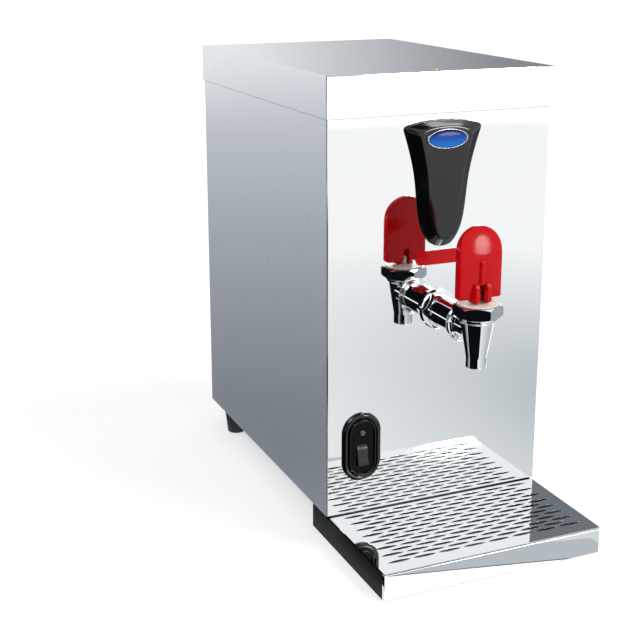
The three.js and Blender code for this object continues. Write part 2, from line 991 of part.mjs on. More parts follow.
function lampLens() {
  const near = faceFront;
  return turnedBack(
    [
      [0, near - lampDome],
      [lampRadius * domeShare, near - lampDome / 2],
      [lampRadius, near + lampDome / 2],
      [lampRadius, near + lampLength - seatGap],
      [0, near + lampLength - seatGap],
    ],
    [switchAcross, switchUp + lampRise],
    smallSteps,
  );
}

// Tap
function tapBody() {
  const straightTop = spoutBottom + spoutStraight;
  const upright = turnedUp(
    [
      [0, spoutBottom],
      [spoutRadius - spoutLip, spoutBottom],
      [spoutRadius, spoutBottom + spoutLip],
      [spoutRadius, straightTop],
      [coneRadius, coneTop],
      [neckRadius, coneTop + spoutLip],
      [neckRadius, neckTop],
      [spigotRadius, neckTop],
      [spigotRadius, spigotTop],
      [0, spigotTop],
    ],
    tap,
    fineSteps,
  );
  const discFar = discNear + discThick;
  const barrelEnd = -seatGap - panelNutThick - seatGap;
  const arm = turnedBack(
    [
      [0, -tapReach],
      [armRadius, -tapReach],
      [armRadius, discNear],
      [discRadius - discRound, discNear],
      [discRadius, discNear + discRound],
      [discRadius, discFar - discRound],
      [discRadius - discRound, discFar],
      [barrelRadius, discFar],
      [barrelRadius, barrelEnd],
      [tailRadius, barrelEnd],
      [tailRadius, tailEnd],
      [0, tailEnd],
    ],
    stemLine,
    fineSteps,
  );
  const chamber = rodUp(chamberRadius, tap, [seatUp, spigotTop + cutRun]);
  const outlet = rodUp(outletBore, tap, [spoutBottom - cutRun, seatUp + cutRun]);
  const inlet = rodBack(stemBore, stemLine, [-tapReach, tailEnd + cutRun], roundSteps);
  return cut(join(upright, arm), chamber, outlet, inlet);
}

function panelNut() {
  const far = -seatGap;
  const near = far - panelNutThick;
  const hex = standing(hexagon(panelNutFlats, stemLine), near, far);
  const round = turnedBack(chamfered(panelNutFlats, nutChamfer, near, far), stemLine, fineSteps);
  const flange = turnedBack(
    [
      [0, far - panelFlangeThick],
      [panelFlangeRadius - panelFlangeThick / 2, far - panelFlangeThick],
      [panelFlangeRadius, far - panelFlangeThick / 2],
      [panelFlangeRadius, far],
      [0, far],
    ],
    stemLine,
    fineSteps,
  );
  const bore = rodBack(tailRadius + holeGap, stemLine, [near - cutRun, far + cutRun]);
  return cut(join(hex.intersect(round), flange), bore);
}

function tailSeal() {
  const ring = rodBack(sealRadius, stemLine, [sealFront, sealRear]);
  return cut(ring, rodBack(tailRadius + holeGap, stemLine, [sealFront - cutRun, sealRear + cutRun]));
}

function bonnetNut() {
  const hex = raised(hexagon(bonnetFlats, tap, 1 / 12), bonnetLow, bonnetTop);
  const round = turnedUp(chamfered(bonnetFlats, nutChamfer, bonnetLow, bonnetTop), tap, fineSteps);
  const thread = rodUp(spigotRadius + holeGap, tap, [bonnetLow - cutRun, spigotTop + seatGap]);
  const mouth = rodUp(bonnetHole, tap, [bonnetLow, bonnetTop + cutRun]);
  return cut(hex.intersect(round), thread, mouth);
}

function bonnetCap() {
  const hole = rodRadius + runningGap;
  return turnedUp(
    [
      [hole, capSpigotLow],
      [capSpigot, capSpigotLow],
      [capSpigot, capLow],
      [capRadius, capLow],
      [capRadius, capTop],
      [hole, capTop],
    ],
    tap,
  );
}

function valveStem() {
  const nubLow = cupTop - cupHoleDepth + seatGap;
  const rodTop = pinUp + rodPastPin;
  const rod = turnedUp(
    [
      [0, nubLow],
      [rodRadius, nubLow],
      [rodRadius, flangeLow],
      [stemFlange, flangeLow],
      [stemFlange, flangeTop],
      [rodRadius, flangeTop],
      [rodRadius, rodTop - rodRadius / 2],
      [rodRadius / 2, rodTop],
      [0, rodTop],
    ],
    tap,
  );
  return cut(rod, rodAcross(pinRadius + runningGap, [-tapReach, pinUp], [-rodRadius - cutRun, rodRadius + cutRun]));
}

function seatCup() {
  const hole = rodRadius + holeGap;
  const holeLow = cupTop - cupHoleDepth;
  return turnedUp(
    [
      [0, cupLow],
      [cupRadius, cupLow],
      [cupRadius, cupTop],
      [hole, cupTop],
      [hole, holeLow],
      [0, holeLow],
    ],
    tap,
  );
}

// A spring wound as one unbroken tube about the stem.
function stemSpring() {
  const low = flangeTop + seatGap + springWire;
  const high = capSpigotLow - seatGap - springWire;
  const rings = springTurns * springStepsPerTurn;
  const ring = (i) => {
    const angle = (i * 2 * Math.PI) / springStepsPerTurn;
    const height = low + ((high - low) * i) / rings;
    return circle(springWire, springSides).map(([out, up]) => [
      (springRadius + out) * Math.cos(angle),
      -tapReach + (springRadius + out) * Math.sin(angle),
      height + up,
    ]);
  };
  const position = [];
  for (let i = 0; i < rings; i++) {
    const [here, next] = [ring(i), ring(i + 1)];
    for (let k = 0; k < springSides; k++) {
      const m = (k + 1) % springSides;
      position.push(...here[k], ...next[m], ...here[m], ...here[k], ...next[k], ...next[m]);
    }
  }
  const [first, last] = [ring(0), ring(rings)];
  for (let k = 1; k < springSides - 1; k++) {
    position.push(...first[0], ...first[k], ...first[k + 1]);
    position.push(...last[0], ...last[k + 1], ...last[k]);
  }
  const geometry = new THREE.BufferGeometry();
  geometry.setAttribute("position", new THREE.Float32BufferAttribute(position, 3));
  return solid(geometry);
}

// One prong from the side. Its foot is an involute, so the lift grows evenly with the tilt.
function prongOutline() {
  const tilt = THREE.MathUtils.degToRad(leverTilt);
  const cam = Array.from({ length: camSteps + 1 }, (_, i) => {
    const angle = (tilt * i) / camSteps;
    const reach = camDrop + camRate * angle;
    return [
      -tapReach - reach * Math.sin(angle) - camRate * Math.cos(angle),
      pinUp - reach * Math.cos(angle) + camRate * Math.sin(angle),
    ];
  });
  const front = cam.at(-1)[0];
  const back = -tapReach + leverThick / 2;
  const top = pinUp + prongTop;
  const shoulder = pinUp + prongTop * prongShoulderShare;
  return [
    ...cam.reverse(),
    [back, pinUp - camDrop],
    [back, top],
    [-tapReach - leverThick / 2, top],
    [(front - tapReach - leverThick / 2) / 2, top],
    [front, shoulder],
  ];
}
const prongShoulderShare = 0.85;

function leverOutline() {
  const half = leverWidth / 2;
  const arc = circle(half, fineSteps, [0, leverTop - half]).slice(0, fineSteps / 2 + 1);
  const corner = half * leverCornerShare;
  return [
    ...arc,
    [-half, leverLow + corner],
    [corner - half, leverLow],
    [half - corner, leverLow],
    [half, leverLow + corner],
  ];
}
const leverCornerShare = 0.08;

function tapLever() {
  const back = -tapReach + leverThick / 2;
  const front = back - leverThick;
  const blade = join(
    standing(leverOutline(), front + leverCrown, back),
    lofted(leverFace(), leverOutline(), front, front + leverCrown),
  );
  const prongs = [-1, 1].map((side) => {
    const edges = [(side * prongGap) / 2, side * prongHalf].sort((a, b) => a - b);
    return crossing(prongOutline(), ...edges);
  });
  const rib = box(
    [-ribWidth / 2, ribWidth / 2],
    [front - ribRise, front + leverCrown],
    [pinUp, pinUp + ribTop],
  );
  const split = box(
    [-prongGap / 2, prongGap / 2],
    [front - tapReach, back + tapReach],
    [leverLow - leverThick, pinUp + slotHeadroom],
  );
  const pinHole = rodAcross(pinRadius + runningGap, [-tapReach, pinUp], [-prongHalf - cutRun, prongHalf + cutRun]);
  const thumbHole = rodBack(
    thumbHoleRadius,
    [0, pinUp + thumbHoleUp],
    [back - thumbHoleDepth, back + cutRun],
    smallSteps,
  );
  return cut(join(blade, ...prongs, rib), split, pinHole, thumbHole);
}

// The lever's front outline, drawn in by its crown.
function leverFace() {
  const share = 1 - (2 * leverCrown) / leverWidth;
  const middle = (leverLow + leverTop) / 2;
  const heightShare = 1 - (2 * leverCrown) / (leverTop - leverLow);
  return leverOutline().map(([x, z]) => [x * share, middle + (z - middle) * heightShare]);
}

function leverPin() {
  const half = prongHalf - seatGap;
  return rodAcross(pinRadius, [-tapReach, pinUp], [-half, half]);
}

// Drip tray
function carrierScrewPlaces() {
  return [-1, 1].map((side) => [side * (trayHalf - carrierScrewInset), beamMiddle]);
}

function trayFrontEnd() {
  return -trayReach + trayFrontReturn;
}

function trayCarrier() {
  const near = trayFrontEnd() + seatGap;
  const outer = box([-trayHalf, trayHalf], [near, carrierRun], [0, carrierLedge]);
  const upperHalf = trayHalf - carrierStep;
  const upper = box([-upperHalf, upperHalf], [near, carrierRun - carrierStep], [0, carrierTop]);
  const inner = trayHalf - carrierWall;
  const bay = box([-inner, inner], [near - cutRun, beamFront], [carrierFloor, carrierTop + cutRun]);
  const frontCut = box(
    [-trayHalf - cutRun, trayHalf + cutRun],
    [near - cutRun, -seatGap],
    [rimTop, carrierTop + cutRun],
  );
  const beamPocket = box(
    [carrierWall - inner, inner - carrierWall],
    [beamFront + carrierWall, carrierRun - carrierStep - carrierWall],
    [-cutRun, carrierTop - carrierWall],
  );
  const holes = carrierScrewPlaces().map((place) =>
    rodUp(carrierScrewRadius + holeGap, place, [carrierFloor, carrierTop + cutRun], smallSteps),
  );
  return cut(join(outer, upper), bay, frontCut, beamPocket, ...holes);
}

function carrierScrew(place) {
  const seat = floorTop + seatGap;
  const tip = seat - carrierScrewLength;
  return turnedUp(
    [
      [0, tip],
      [carrierScrewRadius, tip],
      [carrierScrewRadius, seat],
      [carrierScrewHead, seat],
      [carrierScrewHead, seat + carrierScrewHeadRise],
      [0, seat + carrierScrewHeadRise],
    ],
    place,
    smallSteps,
  );
}

function dripTray() {
  const half = trayHalf - carrierWall - slideGap;
  const near = -trayReach + sheet + seatGap;
  const far = beamFront - trayBeamGap;
  const low = carrierFloor + seatGap;
  const outer = box([-half, half], [near, far], [low, rimTop]);
  const hollow = box(
    [trayWall - half, half - trayWall],
    [near + trayWall, far - trayWall],
    [low + trayWall, rimTop + cutRun],
  );
  return cut(outer, hollow);
}

function trayFront() {
  const end = trayFrontEnd();
  const outline = [
    [-trayHalf, end],
    [-trayHalf, -trayReach],
    [trayHalf, -trayReach],
    [trayHalf, end],
    [trayHalf - sheet, end],
    [trayHalf - sheet, sheet - trayReach],
    [sheet - trayHalf, sheet - trayReach],
    [sheet - trayHalf, end],
  ];
  return raised(outline, trayFrontLift, rimTop);
}

function grilleSlot(x, y) {
  const half = slotLength / 2;
  const wide = slotWidth / 2;
  return [
    [x - half, y],
    [x - half * slotShoulderShare, y - wide],
    [x + half * slotShoulderShare, y - wide],
    [x + half, y],
    [x + half * slotShoulderShare, y + wide],
    [x - half * slotShoulderShare, y + wide],
  ];
}
const slotShoulderShare = 0.55;

// Rows of pointed slots, every second row shifted by half a pitch and one slot shorter.
function dripGrille() {
  const shape = new THREE.Shape([
    new THREE.Vector2(-trayHalf, -trayReach),
    new THREE.Vector2(trayHalf, -trayReach),
    new THREE.Vector2(trayHalf, -grilleBackGap),
    new THREE.Vector2(-trayHalf, -grilleBackGap),
  ]);
  for (let row = 0; row < slotRows; row++) {
    const count = slotColumns - (row % 2);
    for (let column = 0; column < count; column++) {
      const x = (column - (count - 1) / 2) * slotPitch;
      const y = -slotFirstRow - row * slotRowPitch;
      const points = grilleSlot(x, y).map(([u, v]) => new THREE.Vector2(u, v));
      shape.holes.push(new THREE.Path(points));
    }
  }
  const plate = new THREE.ExtrudeGeometry(shape, { depth: grilleThick, bevelEnabled: false });
  return solid(plate.translate(0, 0, grilleLow));
}

// Tank
function tank() {
  const outer = box([-tankHalf, tankHalf], [tankFront, tankRear], [tankLow, tankTop]);
  const rim = box(
    [-rimHalf, rimHalf],
    [tankFront - tankRim, tankRear + tankRim],
    [tankTop - tankWall, tankTop],
  );
  const hollow = box(
    [tankWall - tankHalf, tankHalf - tankWall],
    [tankFront + tankWall, tankRear - tankWall],
    [tankLow + tankWall, tankTop + cutRun],
  );
  const socket = rodBack(socketRadius, stemLine, [sealRear + seatGap, tankFront + tankWall]);
  const bore = rodBack(tailRadius + holeGap, stemLine, [0, tankFront + tankWall + cutRun]);
  const rear = [tankRear - tankWall - cutRun, tankRear + cutRun];
  return cut(
    join(cut(join(outer, rim), hollow), socket),
    bore,
    rodBack(heaterPlug + holeGap, [0, heaterUp], rear),
    rodBack(fillRadius + holeGap, [inletAcross, heaterUp], rear, smallSteps),
    rodBack(overflowRadius + holeGap, [overflowAcross, overflowUp()], rear, smallSteps),
    rodUp(drainRadius + holeGap, drainPlace(), [tankLow - cutRun, tankLow + tankWall + cutRun]),
  );
}

function insulationJacket() {
  const half = tankHalf + seatGap;
  const near = tankFront - seatGap;
  const far = tankRear + seatGap;
  const top = tankTop - tankWall - jacketBelowRim;
  const outer = box(
    [-half - jacketThick, half + jacketThick],
    [near - jacketThick, far + jacketThick],
    [jacketLow, top],
  );
  const hollow = box([-half, half], [near, far], [jacketLow + jacketThick, top + cutRun]);
  const rear = [far - cutRun, far + jacketThick + cutRun];
  return cut(
    outer,
    hollow,
    rodBack(socketRadius + seatGap, stemLine, [near - jacketThick - cutRun, near + cutRun]),
    rodBack(heaterNutFlats / Math.sqrt(3) + slideGap, [0, heaterUp], rear),
    rodBack(fillRadius + slideGap, [inletAcross, heaterUp], rear, smallSteps),
    rodBack(overflowRadius + slideGap, [overflowAcross, overflowUp()], rear, smallSteps),
    rodUp(drainRadius + slideGap, drainPlace(), [jacketLow - cutRun, tankLow + cutRun]),
  );
}

// A bench of folded sheet that carries the tank and its jacket.
function tankStand() {
  const half = standHalf;
  const outline = [
    [-half, standsOnFloor],
    [standFoot - half, standsOnFloor],
    [standFoot - half, standsOnFloor + sheet],
    [sheet - half, standsOnFloor + sheet],
    [sheet - half, standTop - sheet],
    [half - sheet, standTop - sheet],
    [half - sheet, standsOnFloor + sheet],
    [half - standFoot, standsOnFloor + sheet],
    [half - standFoot, standsOnFloor],
    [half, standsOnFloor],
    [half, standTop],
    [-half, standTop],
  ];
  const hole = rodUp(drainRadius + slideGap, drainPlace(), [standTop - sheet - cutRun, standTop + cutRun]);
  return cut(standing(outline, standFront, tankRear - standRearSetback), hole);
}

function tankGasket() {
  const levels = [gasketLow, gasketLow + gasketThick];
  const outer = box([-rimHalf, rimHalf], [tankFront - tankRim, tankRear + tankRim], levels);
  const hollow = box(
    [tankWall - tankHalf, tankHalf - tankWall],
    [tankFront + tankWall, tankRear - tankWall],
    [levels[0] - cutRun, levels[1] + cutRun],
  );
  return cut(outer, hollow);
}

function longProbePlace() {
  return [-probeHalf, tankMiddle - probeAhead];
}

function shortProbePlace() {
  return [probeHalf, tankMiddle - probeAhead];
}

function sensorPlace() {
  return [0, tankMiddle + sensorBehind];
}

function tankLid() {
  const levels = [tankLidLow, tankLidTop];
  const plate = box([-rimHalf, rimHalf], [tankFront - tankRim, tankRear + tankRim], levels);
  const holes = [longProbePlace(), shortProbePlace(), sensorPlace()].map((place) =>
    rodUp(probeCollar + holeGap, place, [levels[0] - cutRun, levels[1] + cutRun], smallSteps),
  );
  return cut(plate, ...holes);
}

// A rod through an insulating collar that stands on the tank lid.
function probe(place, tip) {
  const seat = tankLidTop + seatGap;
  const collarTop = seat + probeFlangeThick + probeCollarRise;
  return turnedUp(
    [
      [0, tip],
      [probeRadius, tip],
      [probeRadius, gasketLow],
      [probeCollar, gasketLow],
      [probeCollar, seat],
      [probeFlange, seat],
      [probeFlange, seat + probeFlangeThick],
      [probeCollar, seat + probeFlangeThick],
      [probeCollar, collarTop],
      [probeRadius, collarTop],
      [probeRadius, collarTop + probeTip],
      [0, collarTop + probeTip],
    ],
    place,
    smallSteps,
  );
}

function overheatCutout() {
  const seat = tankLidTop + seatGap;
  const place = [cutoutAcross, tankMiddle + cutoutBehind];
  return rodUp(cutoutRadius, place, [seat, seat + cutoutThick]);
}

// A hairpin heater through the tank's rear wall, with its terminal studs.
function heatingElement() {
  const inner = tankRear - tankWall - seatGap;
  const flangeFace = inner - heaterFlangeThick;
  const flange = rodBack(heaterFlange, [0, heaterUp], [flangeFace, inner]);
  const plugEnd = tankRear + heaterOut;
  const plug = rodBack(heaterPlug, [0, heaterUp], [flangeFace, plugEnd]);
  const studs = [-1, 1].map((side) =>
    rodBack(studRadius, [(side * heaterPlug) / 2, heaterUp], [flangeFace, plugEnd + studLength], smallSteps),
  );
  const far = flangeFace + heaterFlangeThick / 2;
  const near = tankFront + heaterFrontRoom;
  const hairpin = pipe(
    [
      [-heaterHalf, far, heaterUp],
      [-heaterHalf, near, heaterUp],
      [heaterHalf, near, heaterUp],
      [heaterHalf, far, heaterUp],
    ],
    heaterRadius,
    heaterHalf * heaterBendShare,
  );
  return join(flange, plug, hairpin, ...studs);
}
const heaterBendShare = 0.9;

function elementNut() {
  const near = tankRear + seatGap;
  const hex = standing(hexagon(heaterNutFlats, [0, heaterUp]), near, near + heaterNutThick);
  const bore = rodBack(heaterPlug + holeGap, [0, heaterUp], [near - cutRun, near + heaterNutThick + cutRun]);
  return cut(hex, bore);
}

// Water inlet at the rear
function inletValve() {
  const blockFar = insideRear - inletFlangeThick;
  const block = box(
    [inletAcross - valveHalf, inletAcross + valveHalf],
    [valveNear, blockFar],
    [inletUp - valveHalf, inletUp + valveHalf],
  );
  const flange = rodBack(inletFlange, inletPlace, [blockFar - inletFlangeThick, insideRear]);
  const tail = rodBack(inletRadius, inletPlace, [blockFar, bodyDepth + inletOut]);
  const bore = rodBack(inletBore, inletPlace, [blockFar, bodyDepth + inletOut + cutRun]);
  return cut(join(block, flange, tail), bore);
}

function valveCoil() {
  const low = inletUp + valveHalf + seatGap;
  const middle = valveNear + valveLength / 2;
  const core = rodUp(coilHalf, [inletAcross, middle], [low, low + coilHeight], coilSteps);
  const yokeHalf = coilHalf * coilYokeShare;
  const yoke = box(
    [inletAcross - yokeHalf, inletAcross + yokeHalf],
    [middle - coilHalf * coilLeafShare, middle + coilHalf * coilLeafShare],
    [low, low + coilHeight],
  );
  return join(core, yoke);
}
const coilYokeShare = 1.2;
const coilLeafShare = 0.7;

function inletNut() {
  const near = bodyDepth + seatGap;
  const far = near + inletNutThick;
  const hex = standing(hexagon(inletNutFlats, inletPlace), near, far);
  const round = turnedBack(chamfered(inletNutFlats, nutChamfer, near, far), inletPlace, fineSteps);
  return cut(hex.intersect(round), rodBack(inletRadius + holeGap, inletPlace, [near - cutRun, far + cutRun]));
}

function fillPipe() {
  const front = valveNear - seatGap;
  const upright = (front + tankRear + seatGap + jacketThick) / 2;
  return pipe(
    [
      [inletAcross, front, inletUp],
      [inletAcross, upright, inletUp],
      [inletAcross, upright, heaterUp],
      [inletAcross, tankRear - fillInside, heaterUp],
    ],
    fillRadius,
    (front - upright) * fillBendShare,
  );
}
const fillBendShare = 0.95;

function overflowUp() {
  return tankTop - tankRim - overflowDrop;
}

function overflowFloorPlace() {
  return [overflowAcross, tankRear + jacketThick + overflowBack];
}

function overflowPipe() {
  const [x, y] = overflowFloorPlace();
  return pipe(
    [
      [x, tankRear - fillInside, overflowUp()],
      [x, y, overflowUp()],
      [x, y, floorHeight - overflowPast],
    ],
    overflowRadius,
    pipeBend,
  );
}

function drainPlace() {
  return [0, tankFront + drainBehindFront];
}

function drainPipe() {
  const top = tankLow + tankWall + drainInside;
  const bore = drainRadius * overflowWallShare;
  return cut(
    rodUp(drainRadius, drainPlace(), [drainLow, top]),
    rodUp(bore, drainPlace(), [drainLow + plugWall, top + cutRun], smallSteps),
  );
}

function drainPlug() {
  const hole = drainRadius + seatGap;
  const seat = drainLow - seatGap;
  return turnedUp(
    [
      [0, plugLow],
      [plugRadius, plugLow],
      [plugRadius, plugLow + plugHeight],
      [hole, plugLow + plugHeight],
      [hole, seat],
      [0, seat],
    ],
    drainPlace(),
  );
}

// Electrics
function boardPillars() {
  const far = boardNear + boardDepth - pillarInset;
  return [boardLeft + pillarInset, boardRight - pillarInset].flatMap((x) => [
    [x, boardNear + pillarInset],
    [x, far],
  ]);
}

function boardTray() {
  const levels = [standsOnFloor, standsOnFloor + boardTrayThick];
  const plate = box([boardLeft, boardRight], [boardNear, boardNear + boardDepth], levels);
  const pillars = boardPillars().map((place) =>
    rodUp(pillarRadius, place, [standsOnFloor, standsOnFloor + pillarHeight], smallSteps),
  );
  return join(plate, ...pillars);
}

function controlBoard() {
  const low = standsOnFloor + pillarHeight + seatGap;
  const top = low + boardThick;
  const plate = box([boardLeft, boardRight], [boardNear, boardNear + boardDepth], [low, top]);
  const relayLeft = boardLeft + relayInset;
  const relayNear = boardNear + pillarInset;
  const relay = box([relayLeft, relayLeft + relayWidth], [relayNear, relayNear + relayDepth], [low, top + relayHeight]);
  const coreLeft = boardRight - transformerInset - transformerWidth;
  const transformer = box(
    [coreLeft, coreLeft + transformerWidth],
    [relayNear, relayNear + transformerWidth],
    [low, top + transformerHeight],
  );
  return join(plate, relay, transformer);
}

function terminalBlock() {
  const left = glandAcross - terminalWidth / 2;
  const levels = [standsOnFloor, standsOnFloor + terminalHeight];
  const far = overflowFloorPlace()[1] - overflowRadius - terminalGap;
  const near = far - terminalDepth;
  const block = box([left, left + terminalWidth], [near, far], levels);
  const step = terminalWidth / terminalWays;
  const middle = (levels[0] + levels[1]) / 2;
  const holes = Array.from({ length: terminalWays }, (_, i) =>
    rodBack(
      terminalHole,
      [left + (i + 1 / 2) * step, middle],
      [near - cutRun, far + cutRun],
      smallSteps,
    ),
  );
  return cut(block, ...holes);
}

function cableGland() {
  const hexNear = bodyDepth + seatGap;
  const hexFar = hexNear + glandHexThick;
  const end = bodyDepth + glandOut;
  const tube = rodBack(glandRadius, glandPlace, [bodyDepth - glandIn, hexNear + glandHexThick / 2]);
  const hex = standing(hexagon(glandFlats, glandPlace), hexNear, hexFar)
    .intersect(turnedBack(chamfered(glandFlats, nutChamfer, hexNear, hexFar), glandPlace));
  const dome = turnedBack(
    [
      [0, hexNear],
      [glandFlats * glandDomeShare, hexNear],
      [glandFlats * glandDomeShare, end - nutChamfer],
      [glandFlats * glandDomeShare - nutChamfer, end],
      [0, end],
    ],
    glandPlace,
  );
  const bore = rodBack(glandBore, glandPlace, [bodyDepth - glandIn - cutRun, end + cutRun], smallSteps);
  return cut(join(tube, hex, dome), bore);
}
const glandDomeShare = 0.42;

function glandNut() {
  const far = insideRear;
  const near = far - glandNutThick;
  const hex = standing(hexagon(glandNutFlats, glandPlace), near, far);
  return cut(hex, rodBack(glandRadius + holeGap, glandPlace, [near - cutRun, far + cutRun]));
}

// Assembly
const [leftFoot, rightFoot] = footPlaces();
const [leftCarrierScrew, rightCarrierScrew] = carrierScrewPlaces();
const [lowerCoverScrew, upperCoverScrew] = coverScrewPlaces();

add("floor_plate", floorPlate(), "innerSteel");
add("front_panel", frontPanel(), "mirrorSteel");
add("left_side_panel", sidePanel(-1), "satinSteel");
add("right_side_panel", sidePanel(1), "satinSteel");
add("rear_panel", rearPanel(), "satinSteel");
add("lid", lid(), "mirrorSteel");
add("lid_screw", lidScrew(), "brass");
add("left_rear_foot", rearFoot(leftFoot), "blackRubber");
add("right_rear_foot", rearFoot(rightFoot), "blackRubber");
add("left_foot_screw", footScrew(leftFoot), "innerSteel");
add("right_foot_screw", footScrew(rightFoot), "innerSteel");

add("tap_cover", tapCover(), "glossBlack");
add("lower_cover_screw", coverScrew(lowerCoverScrew), "innerSteel");
add("upper_cover_screw", coverScrew(upperCoverScrew), "innerSteel");
add("badge_rim", badgeRimRing(), "silverTrim");
add("badge_lens", badgeLens(), "badgeBlue");
add("red_plate", smallPlate(), "redPlastic");

add("switch_plate", switchPlate(), "glossBlack");
add("switch_housing", switchHousing(), "glossBlack");
add("switch_rocker", rocker(), "glossBlack");
add("indicator_lens", lampLens(), "amberLens");

add("tap_body", tapBody(), "chrome");
add("panel_nut", panelNut(), "chrome");
add("tail_seal", tailSeal(), "silicone");
add("bonnet_nut", bonnetNut(), "chrome");
add("bonnet_cap", bonnetCap(), "creamPlastic");
add("valve_stem", valveStem(), "chrome");
add("seat_cup", seatCup(), "silicone");
add("stem_spring", stemSpring(), "innerSteel");
add("tap_lever", tapLever(), "redPlastic");
add("lever_pin", leverPin(), "innerSteel");

add("tray_carrier", trayCarrier(), "mattBlack");
add("left_carrier_screw", carrierScrew(leftCarrierScrew), "innerSteel");
add("right_carrier_screw", carrierScrew(rightCarrierScrew), "innerSteel");
add("drip_tray", dripTray(), "mattBlack");
add("tray_front", trayFront(), "mirrorSteel");
add("drip_grille", dripGrille(), "mirrorSteel");

add("tank_stand", tankStand(), "innerSteel");
add("insulation_jacket", insulationJacket(), "foam");
add("tank", tank(), "innerSteel");
add("tank_gasket", tankGasket(), "silicone");
add("tank_lid", tankLid(), "innerSteel");
add("heating_element", heatingElement(), "copper");
add("element_nut", elementNut(), "brass");
add("long_probe", probe(longProbePlace(), heaterTop + longProbeClear), "innerSteel");
add("short_probe", probe(shortProbePlace(), tankLidLow - shortProbeLength), "innerSteel");
add("temperature_sensor", probe(sensorPlace(), heaterTop + sensorClear), "innerSteel");
add("overheat_cutout", overheatCutout(), "mattBlack");

add("inlet_valve", inletValve(), "whitePlastic");
add("valve_coil", valveCoil(), "mattBlack");
add("inlet_nut", inletNut(), "brass");
add("fill_pipe", fillPipe(), "copper");
add("overflow_pipe", overflowPipe(), "copper");
add("drain_pipe", drainPipe(), "copper");
add("drain_plug", drainPlug(), "brass");
add("board_tray", boardTray(), "whitePlastic");
add("control_board", controlBoard(), "boardGreen");
add("terminal_block", terminalBlock(), "whitePlastic");
add("cable_gland", cableGland(), "mattBlack");
add("gland_nut", glandNut(), "mattBlack");

// The origin is under the middle of the machine, from the tray's front to the inlet's end.
machine.position.y = (trayReach - (bodyDepth + inletOut)) / 2;

export default machine;
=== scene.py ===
from math import cos, pi, radians, sin, tan

import bmesh
import bpy
from mathutils import Matrix, Vector


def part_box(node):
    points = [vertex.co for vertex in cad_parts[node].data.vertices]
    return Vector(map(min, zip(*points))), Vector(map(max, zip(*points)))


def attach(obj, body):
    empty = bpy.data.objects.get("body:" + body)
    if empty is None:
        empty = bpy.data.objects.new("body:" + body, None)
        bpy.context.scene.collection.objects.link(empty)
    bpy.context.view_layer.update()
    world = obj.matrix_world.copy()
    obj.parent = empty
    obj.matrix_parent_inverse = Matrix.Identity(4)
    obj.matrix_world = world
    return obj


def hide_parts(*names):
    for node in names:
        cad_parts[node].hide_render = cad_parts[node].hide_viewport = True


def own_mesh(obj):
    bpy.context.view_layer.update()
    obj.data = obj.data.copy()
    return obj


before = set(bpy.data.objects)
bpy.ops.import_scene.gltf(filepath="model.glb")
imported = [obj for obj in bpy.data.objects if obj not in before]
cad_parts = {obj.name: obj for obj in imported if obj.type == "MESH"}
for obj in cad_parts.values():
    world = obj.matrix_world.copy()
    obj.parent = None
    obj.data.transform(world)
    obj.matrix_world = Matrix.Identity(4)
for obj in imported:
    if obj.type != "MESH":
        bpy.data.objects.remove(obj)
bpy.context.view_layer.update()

bl_info = {
    "name": "Countertop water boiler",
    "version": (1, 0, 0),
    "blender": (4, 5, 0),
    "location": "3D View > Sidebar > Water boiler",
    "description": "Dresses the packed model of a countertop water boiler",
    "category": "Object",
}

MM = 0.001

# The CAD nodes that wear each finish, whether they keep their own shape or lend it to a copy
WEARERS = {
    "satin_steel": "floor_plate left_side_panel right_side_panel rear_panel lid",
    "mirror_steel": "front_panel tray_front drip_grille",
    "inner_steel":
        "left_foot_screw right_foot_screw lower_cover_screw upper_cover_screw left_carrier_screw "
        "right_carrier_screw valve_stem stem_spring lever_pin drip_tray tank_stand tank tank_lid "
        "long_probe short_probe temperature_sensor",
    "chrome_plate": "tap_body panel_nut bonnet_nut",
    "brass": "lid_screw element_nut drain_plug",
    "copper_tube": "heating_element fill_pipe drain_pipe",
    "gloss_black": "tap_cover switch_plate switch_rocker",
    "matt_black": "switch_housing tray_carrier valve_coil cable_gland gland_nut",
    "red_plastic": "red_plate tap_lever",
    "cream_plastic": "bonnet_cap",
    "white_plastic": "overheat_cutout inlet_valve inlet_nut board_tray terminal_block",
    "badge_blue": "badge_lens",
    "silver_trim": "badge_rim",
    "amber_lens": "indicator_lens",
    "black_rubber": "left_rear_foot right_rear_foot",
    "silicone": "tail_seal seat_cup tank_gasket overflow_pipe",
    "foam": "insulation_jacket",
    "board_green": "control_board",
}
SLOT_OF = {node: slot for slot, nodes in WEARERS.items() for node in nodes.split()}
FINISH = {}


# ---------------------------------------------------------------- sizes and colours

def length(label, what, millimetres):
    """A size that the sidebar shows in the scene's own length unit."""
    return bpy.props.FloatProperty(
        name=label, description=what, default=millimetres * MM, min=0.0, unit="LENGTH")


def colour(label, what, code):
    """A colour that the sidebar shows as a swatch."""
    return bpy.props.FloatVectorProperty(
        name=label, description=what, default=linear(code)[:3], min=0.0, max=1.0,
        size=3, subtype="COLOR")


def linear(code):
    """An sRGB hex colour as the linear colour that Blender's sockets take."""
    parts = [int(code[i:i + 2], 16) / 255 for i in (1, 3, 5)]
    plain = [c / 12.92 if c <= 0.04045 else ((c + 0.055) / 1.055) ** 2.4 for c in parts]
    return (*plain, 1.0)


